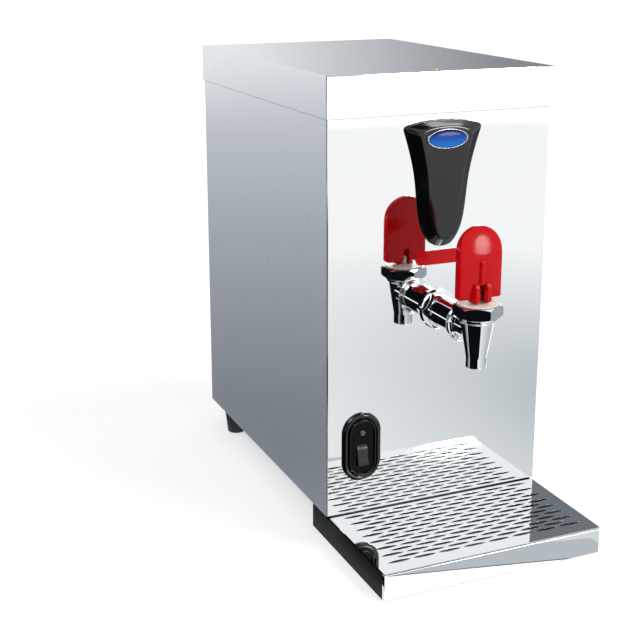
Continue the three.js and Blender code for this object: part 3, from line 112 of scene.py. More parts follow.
class BoilerSizes(bpy.types.PropertyGroup):
    fold: length("Sheet fold", "Outside radius where the steel sheet is folded", 1.0)
    rim: length("Sheet rim", "Rounding along the cut edges of the sheet", 0.3)
    # The band under the lid's skirt that gets the near black sheared finish as a painted shade line
    lid_shaded_rim: length("Lid rim", "Height of the dull sheared edge under the lid's skirt", 0.28)
    plastic_edge: length("Moulded edge", "Rounding along the edges of the moulded pieces", 0.5)
    metal_edge: length("Turned edge", "Rounding along the edges of nuts and turned pieces", 0.6)
    lever_crown: length("Lever crown", "How far the lever's front swells past its edge", 2.4)
    lever_lean: bpy.props.FloatProperty(
        name="Lever lean", description="How far the lever's upper front leans back",
        default=radians(9), min=0.0, max=radians(20), subtype="ANGLE")
    lever_corner: length("Lever corner", "Radius of the lever's lower corners", 1.7)
    lens_dome: length("Badge dome", "How far the badge's clear lens swells", 1.0)
    slot_rim: length("Grille slot rim", "Rounding of the cut rim round each grille slot", 0.12)
    grille_sheet: length("Grille sheet", "Thickness of the grille's sheet", 1.0)
    floor: length("Floor", "Width of the studio floor", 80000)


class BoilerColours(bpy.types.PropertyGroup):
    mirror: colour("Polished steel", "Mirror polished stainless steel", "#f3f5f6")
    satin: colour("Satin steel", "Satin stainless steel", "#dde0e4")
    chrome: colour("Chrome", "Bright chrome plate", "#eff1f3")
    black: colour("Gloss black", "Gloss black moulding", "#060708")
    red: colour("Lever red", "Gloss red moulding", "#cc0a14")
    cream: colour("Cap cream", "Cream moulded cap", "#f4f0e0")
    badge_top: colour("Badge top", "Badge colour at the top", "#030576")
    badge_low: colour("Badge bottom", "Badge colour at the bottom", "#1f7ade")
    floor: colour("Floor", "Studio floor", "#f4f4f4")


# ---------------------------------------------------------------- modelling helpers

# In metres: points closer than SAME are one point, a cut takes in what lies within ON_PLANE of
# its plane, and an edge within ON_SIDE of a side of its piece's box lies in that side
SAME, ON_PLANE, ON_SIDE = 1e-6, 1e-7, 1e-5


def middle_of(node):
    low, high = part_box(node)
    return (low + high) / 2


def wall_middle(node):
    """The middle of a node's back, where it meets the wall behind."""
    low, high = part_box(node)
    return Vector(((low.x + high.x) / 2, high.y, (low.z + high.z) / 2))


def half_in_mm(node):
    """Half of a node's width, depth and height, in millimetres."""
    low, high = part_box(node)
    return (high - low) / (2 * MM)


def geometry(bm):
    return bm.verts[:] + bm.edges[:] + bm.faces[:]


def verts_in(made):
    return [v for v in made if isinstance(v, bmesh.types.BMVert)]


def edges_in(made):
    return [e for e in made if isinstance(e, bmesh.types.BMEdge)]


def from_node(node):
    """A bmesh copy of a CAD node, with its loose triangles merged and its flat faces whole."""
    bm = bmesh.new()
    bm.from_mesh(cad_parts[node].data)
    bmesh.ops.remove_doubles(bm, verts=bm.verts, dist=SAME)
    bmesh.ops.dissolve_limit(bm, angle_limit=radians(1), verts=bm.verts, edges=bm.edges)
    return bm


def round_edges(bm, width, degrees, segments, least=0.0, keep=None):
    """Bevels the edges that are longer than least and turn by more than the angle, or those of
    them that keep accepts."""
    edges = [
        e for e in bm.edges
        if e.is_manifold and e.calc_face_angle(0) > radians(degrees) and e.calc_length() > least
        and (keep is None or keep(e))]
    bmesh.ops.bevel(
        bm, geom=edges, offset=width, offset_type="OFFSET", affect="EDGES", segments=segments,
        profile=0.5, material=-1, clamp_overlap=True, loop_slide=True)


def cut(bm, point, facing):
    """Cuts new edges right through the mesh, in the plane through a point."""
    bmesh.ops.bisect_plane(bm, geom=geometry(bm), dist=ON_PLANE, plane_co=point, plane_no=facing)


def rectangle(bm, low, high, z):
    """A flat rectangle between two corners, at one height."""
    centre, size = (low + high) / 2, high - low
    place = Matrix.Translation((centre.x, centre.y, z)) @ Matrix.Diagonal((size.x, size.y, 1, 1))
    return bmesh.ops.create_grid(bm, x_segments=1, y_segments=1, size=0.5, matrix=place)


def spin_profile(points, centre, axis="Z", steps=64, ring=False):
    """Spins (radius, along) points about an axis. It starts half a step round, so no point lies
    on the level of the centre and stretch() can pull the two halves apart."""
    bm = bmesh.new()
    half_step = pi / steps
    verts = [bm.verts.new((r * cos(half_step), r * sin(half_step), along)) for r, along in points]
    pairs = list(zip(verts, verts[1:])) + ([(verts[-1], verts[0])] if ring else [])
    edges = [bm.edges.new(pair) for pair in pairs]
    bmesh.ops.spin(
        bm, geom=verts + edges, cent=(0, 0, 0), axis=(0, 0, 1), angle=2 * pi, steps=steps,
        use_merge=True, use_duplicate=False)
    bmesh.ops.remove_doubles(bm, verts=bm.verts, dist=SAME)
    turn = Matrix.Rotation(-pi / 2, 4, "X") if axis == "Y" else Matrix()
    bmesh.ops.transform(bm, matrix=Matrix.Translation(centre) @ turn, verts=bm.verts)
    bmesh.ops.recalc_face_normals(bm, faces=bm.faces)
    return bm


def stretch(bm, axis, middle, by):
    """Pulls the two halves apart along an axis: a round becomes a stadium."""
    pull = Vector((0, 0, 0))
    for side in (-1, 1):
        pull[axis] = side * by
        half = [v for v in bm.verts if (v.co[axis] - middle) * side > 0]
        bmesh.ops.translate(bm, vec=pull, verts=half)


def in_mm(*points):
    return [tuple(value * MM for value in point) for point in points]


def from_wall(*points):
    """A profile of radius and distance out from the wall behind, in millimetres."""
    return in_mm(*((radius, -out) for radius, out in points))


def loft(bm, outline, rings):
    """Copies a flat outline to each ring, bridges the rings and closes both ends. A ring is its
    share of the width, its share of the height, the height that stays put and its y."""
    loops = []
    for across, along, fixed, y in rings:
        made = bmesh.ops.duplicate(bm, geom=outline)["geom"]
        verts = verts_in(made)
        pivot = Matrix.Translation((0, 0, -fixed))
        bmesh.ops.scale(bm, vec=(across, 1, along), space=pivot, verts=verts)
        bmesh.ops.translate(bm, vec=(0, y, 0), verts=verts)
        loops.append(edges_in(made))
    bmesh.ops.delete(bm, geom=verts_in(outline), context="VERTS")
    for lower, upper in zip(loops, loops[1:]):
        bmesh.ops.bridge_loops(bm, edges=lower + upper)
    for loop in (loops[0], loops[-1]):
        bmesh.ops.edgeloop_fill(bm, edges=loop)
    bmesh.ops.recalc_face_normals(bm, faces=bm.faces)


def together(*parts):
    """One bmesh that holds several closed shells."""
    whole = bmesh.new()
    for part in parts:
        shell = bpy.data.meshes.new("shell")
        part.to_mesh(shell)
        part.free()
        whole.from_mesh(shell)
        bpy.data.meshes.remove(shell)
    return whole


def cut_slot(bm, centre, half, depth):
    """Sinks a straight driver slot, along x, into an upward screw head."""
    for side in (-1, 1):
        cut(bm, centre + Vector((0, side * half, 0)), (0, 1, 0))
    floor = [
        f for f in bm.faces
        if f.normal.z > 0.5 and abs(f.calc_center_median().y - centre.y) < half]
    made = bmesh.ops.extrude_face_region(bm, geom=floor)["geom"]
    bmesh.ops.delete(bm, geom=floor, context="FACES_ONLY")
    bmesh.ops.translate(bm, vec=(0, 0, -depth), verts=verts_in(made))


def make_object(name, bm, material):
    mesh = bpy.data.meshes.new(name)
    bm.to_mesh(mesh)
    bm.free()
    mesh.materials.append(material)
    made = bpy.data.objects.new(name, mesh)
    bpy.context.scene.collection.objects.link(made)
    return made


def piece(name, bm, body, node, smooth=35):
    """Makes the finished object, gives it its finish, hangs it under its body and hides its CAD
    node. Edges that turn by more than the smooth angle stay sharp."""
    slot = SLOT_OF[node]
    made = make_object(name, bm, FINISH[slot])
    made.data.polygons.foreach_set("use_smooth", [True] * len(made.data.polygons))
    made.data.set_sharp_from_angle(angle=radians(smooth))
    weighted = made.modifiers.new("flat faces stay flat", "WEIGHTED_NORMAL")
    weighted.keep_sharp = True
    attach(made, body)
    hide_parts(node)
    return made


def rounded_copy(name, node, body, width, degrees, segments, least=0.0):
    """A piece with its CAD node's own shape and rounded edges."""
    bm = from_node(node)
    round_edges(bm, width, degrees, segments, least)
    return piece(name, bm, body, node)


# ---------------------------------------------------------------- finishes

def add_node(tree, kind, settings=None, links=None):
    """Adds a node. A setting is a property or a socket, and a link feeds a socket."""
    made = tree.nodes.new("ShaderNode" + kind)
    for name, value in (settings or {}).items():
        if isinstance(name, str) and hasattr(made, name):
            setattr(made, name, value)
        else:
            made.inputs[name].default_value = value
    for name, source in (links or {}).items():
        tree.links.new(source, made.inputs[name])
    return made


def new_material(name):
    """A material with an empty node tree."""
    material = bpy.data.materials.new(name)
    material.use_nodes = True
    material.node_tree.nodes.clear()
    return material, material.node_tree


def run_colour(tree, socket, factor, low, high):
    """Feeds a socket with a colour that runs from one tone to another."""
    mixed = add_node(tree, "Mix", {"data_type": "RGBA"}, {"Factor": factor})
    mixed.inputs["A"].default_value = low
    mixed.inputs["B"].default_value = high
    tree.links.new(mixed.outputs["Result"], socket)


def tone(swatch, share=1.0):
    return tuple(c * share for c in swatch) + (1.0,)


def finish(name, settings, grain, roughness, stretch_by=(1, 1, 1), bump=0.0, depth=0.02,
           tones=None):
    """One Principled shader. Noise of a real grain size, in millimetres, runs through its
    roughness, a shallow relief as deep as depth in millimetres, and the colour between two
    close tones."""
    material, tree = new_material(name)
    shader = add_node(tree, "BsdfPrincipled", settings)
    add_node(tree, "OutputMaterial", links={"Surface": shader.outputs["BSDF"]})
    place = add_node(tree, "TexCoord").outputs["Object"]
    moved = add_node(tree, "Mapping", {"Scale": stretch_by}, {"Vector": place})
    noise = add_node(
        tree, "TexNoise", {"Scale": 1 / (grain * MM), "Detail": 4.0},
        {"Vector": moved.outputs["Vector"]}).outputs["Fac"]
    spread = add_node(
        tree, "MapRange",
        {"From Min": 0.3, "From Max": 0.7, "To Min": roughness[0], "To Max": roughness[1]},
        {"Value": noise})
    tree.links.new(spread.outputs["Result"], shader.inputs["Roughness"])
    if bump:
        relief = add_node(
            tree, "Bump", {"Strength": bump, "Distance": depth * MM}, {"Height": noise})
        tree.links.new(relief.outputs["Normal"], shader.inputs["Normal"])
    if tones:
        run_colour(tree, shader.inputs["Base Color"], noise, *tones)
    return material


def between(low_code, high_code):
    return linear(low_code), linear(high_code)


def metal(base=None, metallic=1.0):
    return {"Metallic": metallic, **({"Base Color": base} if base else {})}


def badge_blue(colours):
    """Clear cast lens over a field that runs from deep to bright blue."""
    material = finish(
        "clear lens over a blue field",
        {"Coat Weight": 0.12, "Coat Roughness": 0.02, "IOR": 1.5, "Specular IOR Level": 0.1},
        20, (0.18, 0.24))
    tree = material.node_tree
    shader = next(n for n in tree.nodes if n.type == "BSDF_PRINCIPLED")
    place = add_node(tree, "TexCoord").outputs["Object"]
    height = add_node(tree, "SeparateXYZ", links={"Vector": place}).outputs["Z"]
    low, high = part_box("badge_lens")
    up = add_node(
        tree, "MapRange",
        {"From Min": low.z, "From Max": high.z, "interpolation_type": "SMOOTHSTEP"},
        {"Value": height})
    run_colour(tree, shader.inputs["Base Color"], up.outputs["Result"], tone(colours.badge_low),
               tone(colours.badge_top))
    return material


def mix_finishes(colours):
    """Every finish under its slot. The numbers are the grain in millimetres, the least and most
    roughness, the grain's stretch, and the relief's strength and depth in millimetres."""
    return {
        # Stainless sheet, mirror polished: bright clear reflections, a faint swirl left by the mop.
        "mirror_steel": finish(
            "mirror polished stainless steel", metal(tone(colours.mirror)), 25, (0.02, 0.05),
            (1, 1, 3), 0.15),
        # Stainless sheet, fine satin grind: a soft grey sheen with a short upright grain. The real
        # grain is about 0.1 mm wide; it is drawn at 0.8 mm, or it wouldn't show at this distance.
        "satin_steel": finish(
            "satin stainless steel", metal(tone(colours.satin)), 0.8, (0.27, 0.34), (1, 1, 0.03),
            0.1, 0.01, (tone(colours.satin, 0.98), tone(colours.satin, 1.02))),
        # Stainless sheet as rolled, and plain steel screws: a dull, slightly cloudy grey.
        "inner_steel": finish(
            "plain rolled stainless steel", metal(), 6, (0.3, 0.45), bump=0.1,
            tones=between("#a3a7aa", "#b6b9bb")),
        # Chrome over polished brass: hard black and white reflections, hardly any haze.
        "chrome_plate": finish(
            "bright chrome plate", metal(tone(colours.chrome)), 8, (0.02, 0.045), bump=0.1,
            depth=0.01),
        # Turned brass, a little dulled: warm yellow with fine tool marks round it.
        "brass": finish(
            "turned brass", metal(), 1.5, (0.22, 0.38), (1, 1, 4), 0.15, 0.01,
            between("#c0a874", "#d8c594")),
        # Drawn copper, browned by heat in patches.
        "copper_tube": finish(
            "drawn copper tube", metal(), 9, (0.25, 0.42), bump=0.1,
            tones=between("#8f5a3b", "#c98058")),
        # Injection moulded ABS, high gloss: deep black, a clear wet highlight, faint flow ripple.
        "gloss_black": finish(
            "gloss black ABS", {"Base Color": tone(colours.black), "IOR": 1.54}, 14, (0.08, 0.14),
            bump=0.1, depth=0.03),
        # Moulded polypropylene with a fine spark-eroded grain, drawn at 0.9 mm to show at all.
        "matt_black": finish(
            "matt black polypropylene", {"IOR": 1.49, "Specular IOR Level": 0.12}, 0.9,
            (0.42, 0.58), bump=0.25, depth=0.03, tones=between("#040506", "#090a0c")),
        # Gloss red ABS: even strong red, sharp highlight, a trace of depth in the colour.
        "red_plastic": finish(
            "gloss red ABS", {"IOR": 1.54, "Specular IOR Level": 0.14}, 12, (0.1, 0.14), bump=0.05,
            tones=(tone(colours.red, 0.95), tone(colours.red, 1.05))),
        # Unpigmented nylon: warm cream, waxy, slightly see-through at its thin edge.
        "cream_plastic": finish(
            "cream nylon", {"IOR": 1.53, "Subsurface Weight": 0.15, "Subsurface Scale": 0.002}, 3,
            (0.3, 0.4), bump=0.1, tones=(tone(colours.cream, 0.94), tone(colours.cream))),
        # Natural white polyamide, moulded: soft sheen, hardly any grain.
        "white_plastic": finish(
            "white polyamide", {"IOR": 1.53}, 2, (0.35, 0.48), bump=0.1,
            tones=between("#d3d3cd", "#dededa")),
        "badge_blue": badge_blue(colours),
        # Vacuum-metallised plastic rim: thin silver line with a soft gleam.
        "silver_trim": finish("silver foil on plastic", metal(linear("#b9b4aa")), 2, (0.14, 0.24)),
        # The lamp's lens while it is off: smoked grey acrylic with a prismed, glossy skin.
        "amber_lens": finish(
            "smoked lamp lens", {"Base Color": linear("#4c4a49"), "IOR": 1.49, "Coat Weight": 0.6,
                                 "Coat Roughness": 0.03}, 1, (0.1, 0.25), bump=0.2, depth=0.05),
        # Moulded rubber: dull black, greyed by dust where it curves.
        "black_rubber": finish(
            "moulded black rubber", {"IOR": 1.52}, 1.2, (0.5, 0.7), bump=0.3, depth=0.04,
            tones=between("#121314", "#1e1f21")),
        # Translucent silicone: milky grey-white, waxy.
        "silicone": finish(
            "milky silicone", {"IOR": 1.41, "Subsurface Weight": 0.3, "Subsurface Scale": 0.003}, 2,
            (0.35, 0.5), bump=0.1, tones=between("#c9cac6", "#dcdcd8")),
        # A sheared or pierced sheet edge: really unpolished and duller, and also painted near black
        # as painted shade, so it draws a dark line: the shade line under the lid and the shade
        # inside the grille's slots.
        "sheared_edge_and_shade": finish(
            "sheared steel edge painted as shade", metal(metallic=0.6), 1, (0.5, 0.65),
            tones=between("#1c2024", "#2c3136")),
        # Closed-cell insulation: pale grey with cells of about 1.5 mm.
        "foam": finish(
            "closed-cell foam", {"IOR": 1.45}, 1.5, (0.8, 0.95), bump=0.6, depth=0.3,
            tones=between("#8d9094", "#b5b8ba")),
        # Glass-fibre circuit board under green solder resist.
        "board_green": finish(
            "green circuit board", {"IOR": 1.5}, 1, (0.25, 0.4), bump=0.2, depth=0.05,
            tones=between("#0e4a2a", "#1a6b3c")),
    }


class BOILER_OT_finishes(bpy.types.Operator):
    """Mix every finish and put the right one on each CAD node"""
    bl_idname = "boiler.finishes"
    bl_label = "Finishes"

    def execute(self, context):
        FINISH.update(mix_finishes(context.scene.boiler_colours))
        for name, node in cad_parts.items():
            node.data.materials.clear()
            node.data.materials.append(FINISH[SLOT_OF[name]])
        return {"FINISHED"}


# ---------------------------------------------------------------- cabinet

# The lid's second and third finish, the third being the sheared edge painted near black as shade,
# and the least length of a sheet edge that is rounded
POLISHED, SHEARED_AND_SHADED = 1, 2
LONG_EDGE = 12 * MM


def sheet_skin(node, fold, rim):
    """A sheet piece with its outside folds rounded, then its cut rims."""
    low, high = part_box(node)
    bm = from_node(node)

    def outside_fold(e):
        levels = ((0, low.x), (0, high.x), (1, low.y), (2, high.z))
        return sum(
            all(abs(v.co[axis] - level) < ON_SIDE for v in e.verts)
            for axis, level in levels) >= 2

    round_edges(bm, fold, 60, 4, keep=outside_fold)
    round_edges(bm, rim, 60, 2, LONG_EDGE)
    return bm


class BOILER_OT_cabinet(bpy.types.Operator):
    """Model the cabinet's folded sheet panels and the lid"""
    bl_idname = "boiler.cabinet"
    bl_label = "Cabinet and lid"

    def execute(self, context):
        sizes = context.scene.boiler_sizes
        for node in ("front_panel", "left_side_panel", "right_side_panel", "rear_panel",
                     "floor_plate"):
            piece(node + "_skin", sheet_skin(node, sizes.fold, sizes.rim), "cabinet", node)
        low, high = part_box("lid")
        lid = sheet_skin("lid", 0.7 * sizes.fold, sizes.rim)
        cut(lid, (0, 0, low.z + sizes.lid_shaded_rim), (0, 0, 1))
        made = piece("lid_skin", lid, "lid_body", "lid")
        made.data.materials.append(FINISH["mirror_steel"])
        made.data.materials.append(FINISH["sheared_edge_and_shade"])
        for face in made.data.polygons:
            across, front, up = face.normal
            # Painted shade: the sheared rim below, the dull line where the polish ends at the top
            # fold, and the corner seams that the folded front leaves open wear the near black
            # sheared finish, which stands for the shade in these lines and gaps
            rim = face.center.z < low.z + sizes.lid_shaded_rim
            fold = front < -0.9 and up > 0.1 and face.center.z > high.z - sizes.fold
            shaded_seam = face.center.y < low.y + sizes.fold and abs(across) > 0.3 and front < -0.3
            if rim or fold or shaded_seam:
                face.material_index = SHEARED_AND_SHADED
            elif front < -0.7:
                face.material_index = POLISHED
        return {"FINISHED"}


class BOILER_OT_lid_screw(bpy.types.Operator):
    """Turn the brass screw that holds the lid"""
    bl_idname = "boiler.lid_screw"
    bl_label = "Lid screw"

    def execute(self, context):
        low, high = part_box("lid_screw")
        head = (high.x - low.x) / 2
        shank = 0.5 * head
        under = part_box("lid")[1].z - low.z
        top = 0.4 * under + 0.6 * (high.z - low.z)
        profile = (
            (0, 0), (shank * 0.7, 0), (shank, 0.1 * top), (shank, under), (head, under),
            (head, under + 0.2 * MM), (0.92 * head, top - 0.35 * MM),
            (0.66 * head, top - 0.08 * MM), (0, top))
        foot = Vector((0, middle_of("lid_screw").y, low.z))
        bm = spin_profile(profile, foot, steps=40)
        cut_slot(bm, foot + Vector((0, 0, top)), half=0.45 * MM, depth=0.5 * MM)
        piece("brass_lid_screw", bm, "lid_body", "lid_screw", smooth=50)
        return {"FINISHED"}


class BOILER_OT_rear_feet(bpy.types.Operator):
    """Mould the two tapered rubber feet at the back"""
    bl_idname = "boiler.rear_feet"
    bl_label = "Rear feet"

    def execute(self, context):
        for side in ("left", "right"):
            node = side + "_rear_foot"
            screw = side + "_foot_screw"
            foot = middle_of(node)
            foot.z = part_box(node)[0].z
            wide, _, high_half = half_in_mm(node)
            narrow, top = 0.77 * wide, 2 * high_half
            # The well that the screw's head stands in
            well = half_in_mm(screw).x + 0.8
            seat = (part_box(screw)[0].z - foot.z) / MM
            profile = in_mm(
                (0, seat), (well, seat), (well, 0.6), (well + 0.6, 0), (narrow - 1.2, 0),
                (narrow - 0.3, 0.4), (narrow, 1.4), (0.5 * (narrow + wide) - 0.2, 0.5 * top),
                (wide - 0.3, top - 2.6), (wide, top - 1.8), (wide, top - 0.5), (wide - 0.5, top),
                (0, top))
            piece(node + "_moulding", spin_profile(profile, foot), "cabinet", node, smooth=45)
        return {"FINISHED"}


# ---------------------------------------------------------------- front pieces

# Half width over full width, and height over the whole height, up the cover's right side
COVER_SIDE = (
    (0.085, 0.006), (0.16, 0.047), (0.222, 0.11), (0.27, 0.19), (0.3, 0.3), (0.318, 0.42),
    (0.334, 0.52), (0.362, 0.63), (0.414, 0.76), (0.466, 0.87), (0.491, 0.915), (0.496, 0.932),
    (0.491, 0.946), (0.47, 0.956), (0.42, 0.966), (0.32, 0.981), (0.16, 0.996))
# Width share, height share and the height that stays put, for each ring from wall to face,
# with its depth as a share of the cover's own
COVER_RINGS = (
    (1.0, 1.0, 0.0, 0.0), (1.0, 1.0, 0.0, 0.3), (0.985, 0.993, 0.62, 0.42),
    (0.94, 0.975, 0.62, 0.52), (0.72, 0.905, 0.62, 0.93), (0.66, 0.885, 0.62, 0.99),
    (0.6, 0.86, 0.62, 1.0))
COVER_INSET = 3 * MM  # The face has one more ring, so it stays flat


class BOILER_OT_tap_cover(bpy.types.Operator):
    """Loft the gloss black cover above the tap"""
    bl_idname = "boiler.tap_cover"
    bl_label = "Tap cover"

    def execute(self, context):
        low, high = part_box("tap_cover")
        width = (high.x - low.x) / (2 * max(x for x, up in COVER_SIDE))
        tall = high.z - low.z
        bm = bmesh.new()
        side = [bm.verts.new((x * width, 0, low.z + tall * up)) for x, up in COVER_SIDE]
        edges = [bm.edges.new(pair) for pair in zip(side, side[1:])]
        twin = bmesh.ops.duplicate(bm, geom=side + edges)
        other = [twin["vert_map"][v] for v in side]
        bmesh.ops.scale(bm, vec=(-1, 1, 1), verts=other)
        bm.edges.new((side[0], other[0]))
        bm.edges.new((side[-1], other[-1]))
        loft(bm, bm.verts[:] + bm.edges[:], [
            (across, along, low.z + tall * fixed, high.y - depth * (high.y - low.y))
            for across, along, fixed, depth in COVER_RINGS])
        face = [f for f in bm.faces if len(f.verts) > 4 and f.normal.y < -0.9]
        bmesh.ops.inset_region(bm, faces=face, thickness=COVER_INSET, depth=0)
        cover = piece("gloss_tap_cover", bm, "cabinet", "tap_cover", smooth=60)
        rounder = cover.modifiers.new("smooth outline", "SUBSURF")
        rounder.levels = rounder.render_levels = 3
        return {"FINISHED"}


class BOILER_OT_badge(bpy.types.Operator):
    """Make the oval badge's silver rim and its domed lens"""
    bl_idname = "boiler.badge"
    bl_label = "Badge"

    def execute(self, context):
        seat = wall_middle("badge_rim")
        half = half_in_mm("badge_rim").z
        self.oval("silver_badge_rim", "badge_rim", seat, half, True, (
            (half - 0.9, 0), (half - 0.9, 0.9), (half - 0.7, 1.25), (half - 0.45, 1.35),
            (half - 0.2, 1.2), (half, 0.8), (half, 0)))
        tuck = 0.4  # The lens reaches under the rim
        half = half_in_mm("badge_lens").z + tuck
        dome = context.scene.boiler_sizes.lens_dome / MM
        start = (seat.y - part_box("badge_lens")[0].y) / MM - dome
        self.oval("domed_badge_lens", "badge_lens", seat, half, False, [(0, 0), (half, 0)] + [
            (half * sin(radians(t)), start + dome * cos(radians(t)))
            for t in (90, 75, 60, 45, 30, 15, 0)])
        return {"FINISHED"}

    def oval(self, name, node, seat, half, ring, profile):
        """Spins a profile about the seat, then widens the round to its node's width."""
        bm = spin_profile(from_wall(*profile), seat, "Y", 96, ring)
        wider = Matrix.Diagonal((half_in_mm(node).x / half, 1, 1, 1))
        bmesh.ops.transform(
            bm, matrix=Matrix.Translation(seat) @ wider @ Matrix.Translation(-seat), verts=bm.verts)
        piece(name, bm, "cabinet", node, smooth=60)


class BOILER_OT_red_plate(bpy.types.Operator):
    """Make the red plate under the cover"""
    bl_idname = "boiler.red_plate"
    bl_label = "Red plate"

    def execute(self, context):
        long_half, deep_half, half = half_in_mm("red_plate")
        profile = from_wall(
            (0, 0), (half, 0), (half, 1.1 * deep_half), (half - 0.15, 1.7 * deep_half),
            (half - 0.4, 2 * deep_half), (0, 2 * deep_half))
        bm = spin_profile(profile, wall_middle("red_plate"), "Y", 64)
        stretch(bm, 0, 0, (long_half - half) * MM)
        piece("bare_red_plate", bm, "cabinet", "red_plate", smooth=50)
        return {"FINISHED"}


# The switch: the radius of the opening inside the plate's raised ring, in millimetres, the share
# of the rocker above its crease, and how far that part leans back
SWITCH_OPENING = 10.9
ROCKER_HEAD, ROCKER_LEAN = 0.27, 0.55


class BOILER_OT_switch(bpy.types.Operator):
    """Make the switch: domed plate with its raised ring, field, rocker and lamp lens"""
    bl_idname = "boiler.switch"
    bl_label = "Switch"

    def execute(self, context):
        sizes = context.scene.boiler_sizes
        seat = wall_middle("switch_plate")
        half, deep_half, high_half = half_in_mm("switch_plate")
        depth, inner = 2 * deep_half, SWITCH_OPENING
        # Outer edge first: dome, valley, ring, opening
        section = from_wall(
            (half, 0), (half, 0.8), (half - 0.25, 1.3), (half - 0.8, 2.0), (half - 1.6, 2.6),
            (half - 2.6, 2.9), (half - 3.6, 2.75), (half - 4.5, 2.2), (inner + 1.7, 1.6),
            (inner + 1.35, 1.9), (inner + 1.15, depth - 0.35), (inner + 0.8, depth),
            (inner + 0.35, depth), (inner, depth - 0.35), (inner, 0))
        plate = spin_profile(section, seat, "Y", 96, ring=True)
        stretch(plate, 2, seat.z, (high_half - half) * MM)
        piece("domed_switch_plate", plate, "cabinet", "switch_plate", smooth=60)
        rounded_copy("switch_field", "switch_housing", "cabinet", 0.4 * MM, 40, 3, 2 * MM)
        rocker = from_node("switch_rocker")
        low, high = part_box("switch_rocker")
        crease = high.z - ROCKER_HEAD * (high.z - low.z)
        cut(rocker, (0, 0, crease), (0, 0, 1))
        for v in rocker.verts:
            if v.co.z > crease and v.co.y < middle_of("switch_rocker").y:
                v.co.y += ROCKER_LEAN * (v.co.z - crease)
        round_edges(rocker, sizes.plastic_edge, 25, 3, 2 * MM)
        piece("rocker_key", rocker, "rocker_body", "switch_rocker")
        radius, deep_half, _ = half_in_mm("indicator_lens")
        depth = 2 * deep_half
        lens = from_wall(
            (0, 0), (radius, 0), (radius, depth - 1.4), (0.93 * radius, depth - 0.7),
            (0.72 * radius, depth - 0.25), (0.4 * radius, depth - 0.05), (0, depth))
        bm = spin_profile(lens, wall_middle("indicator_lens"), "Y", 48)
        piece("lamp_lens", bm, "cabinet", "indicator_lens", smooth=60)
        return {"FINISHED"}


# ---------------------------------------------------------------- tap


class BOILER_OT_tap(bpy.types.Operator):
    """Turn the chrome tap, its nuts, its cream cap and the parts inside it"""
    bl_idname = "boiler.tap"
    bl_label = "Tap"

    def execute(self, context):
        low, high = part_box("tap_body")
        axis = middle_of("bonnet_nut").y
        # Half the width, and the distances from the upright's axis to the panel and to the arm's
        # end, in millimetres
        wide = half_in_mm("tap_body").x
        reach = (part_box("front_panel")[0].y - axis) / MM
        end = (high.y - axis) / MM
        # Radius and height over the spout's end: bore, rim, spout, cone and chamber
        upright = in_mm(
            (0, 28), (5.5, 28), (5.5, 0.5), (6, 0), (8.1, 0), (8.6, 0.25), (8.8, 0.8), (8.8, 8.4),
            (8.95, 9.6), (9.3, 11.6), (14.1, 38.4), (15.2, 39.8), (wide, 40.6), (wide, 42.7),
            (wide - 0.3, 43), (0, 43))
        # Radius and distance from the panel: neck, turned ring, barrel and threaded tail
        turned = (
            (12, 45.3), (12.6, 44.4), (14.4, 43.9), (15.1, 43.8), (15.8, 43.3), (16, 42.3),
            (15.8, 41.2), (15.1, 40.7), (14.2, 40.5), (13.6, 39.7), (13.5, 38.6), (13.5, 10.1),
            (13.1, 9.6), (10.3, 9.6))
        arm = in_mm(
            (0, 4), (12, 4), *((radius, reach - out) for radius, out in turned),
            (10.3, end - 0.6), (9.7, end), (0, end))
        body = together(
            spin_profile(upright, Vector((0, axis, low.z)), "Z", 96),
            spin_profile(arm, Vector((0, axis, middle_of("panel_nut").z)), "Y", 96))
        piece("chrome_tap_body", body, "cabinet", "tap_body", smooth=50)
        for node in ("panel_nut", "bonnet_nut"):
            rounded_copy(node + "_chrome", node, "cabinet", context.scene.boiler_sizes.metal_edge,
                         25, 3, 1.2 * MM)
        rounded_copy("cream_cap", "bonnet_cap", "cabinet", 0.25 * MM, 60, 3)
        rounded_copy("steel_stem", "valve_stem", "stem_body", 0.25 * MM, 60, 2, 0.3 * MM)
        coil = piece("return_spring", from_node("stem_spring"), "cabinet", "stem_spring", smooth=60)
        low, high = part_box("stem_spring")
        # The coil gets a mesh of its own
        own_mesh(coil)
        return {"FINISHED"}


# The lever: its blade's thickness and how far its foot reaches below the pin; half the width of
# the notch for the stem and its height over the pin; the share of it above the crease
LEVER_BLADE, LEVER_FOOT = 9 * MM, 1.2 * MM
NOTCH_HALF, NOTCH_RISE = 2.95 * MM, 10.2 * MM
LEVER_HEAD = 0.38
# The rib's width, depth and height, and how high its middle stands over the pin
RIB_SIZE, RIB_RISE = (4.4 * MM, 5.5 * MM, 20 * MM), 20.8 * MM
# How far each ring of the blade is drawn in, as a share of the half width, and how far it stands
# forward, as a share of the crown
LEVER_SWELL = (
    (0.0, 0.0), (0.01, 0.14), (0.035, 0.26), (0.07, 0.36), (0.12, 0.46), (0.19, 0.57), (0.28, 0.69),
    (0.4, 0.81), (0.54, 0.91), (0.7, 0.97), (0.86, 1.0))


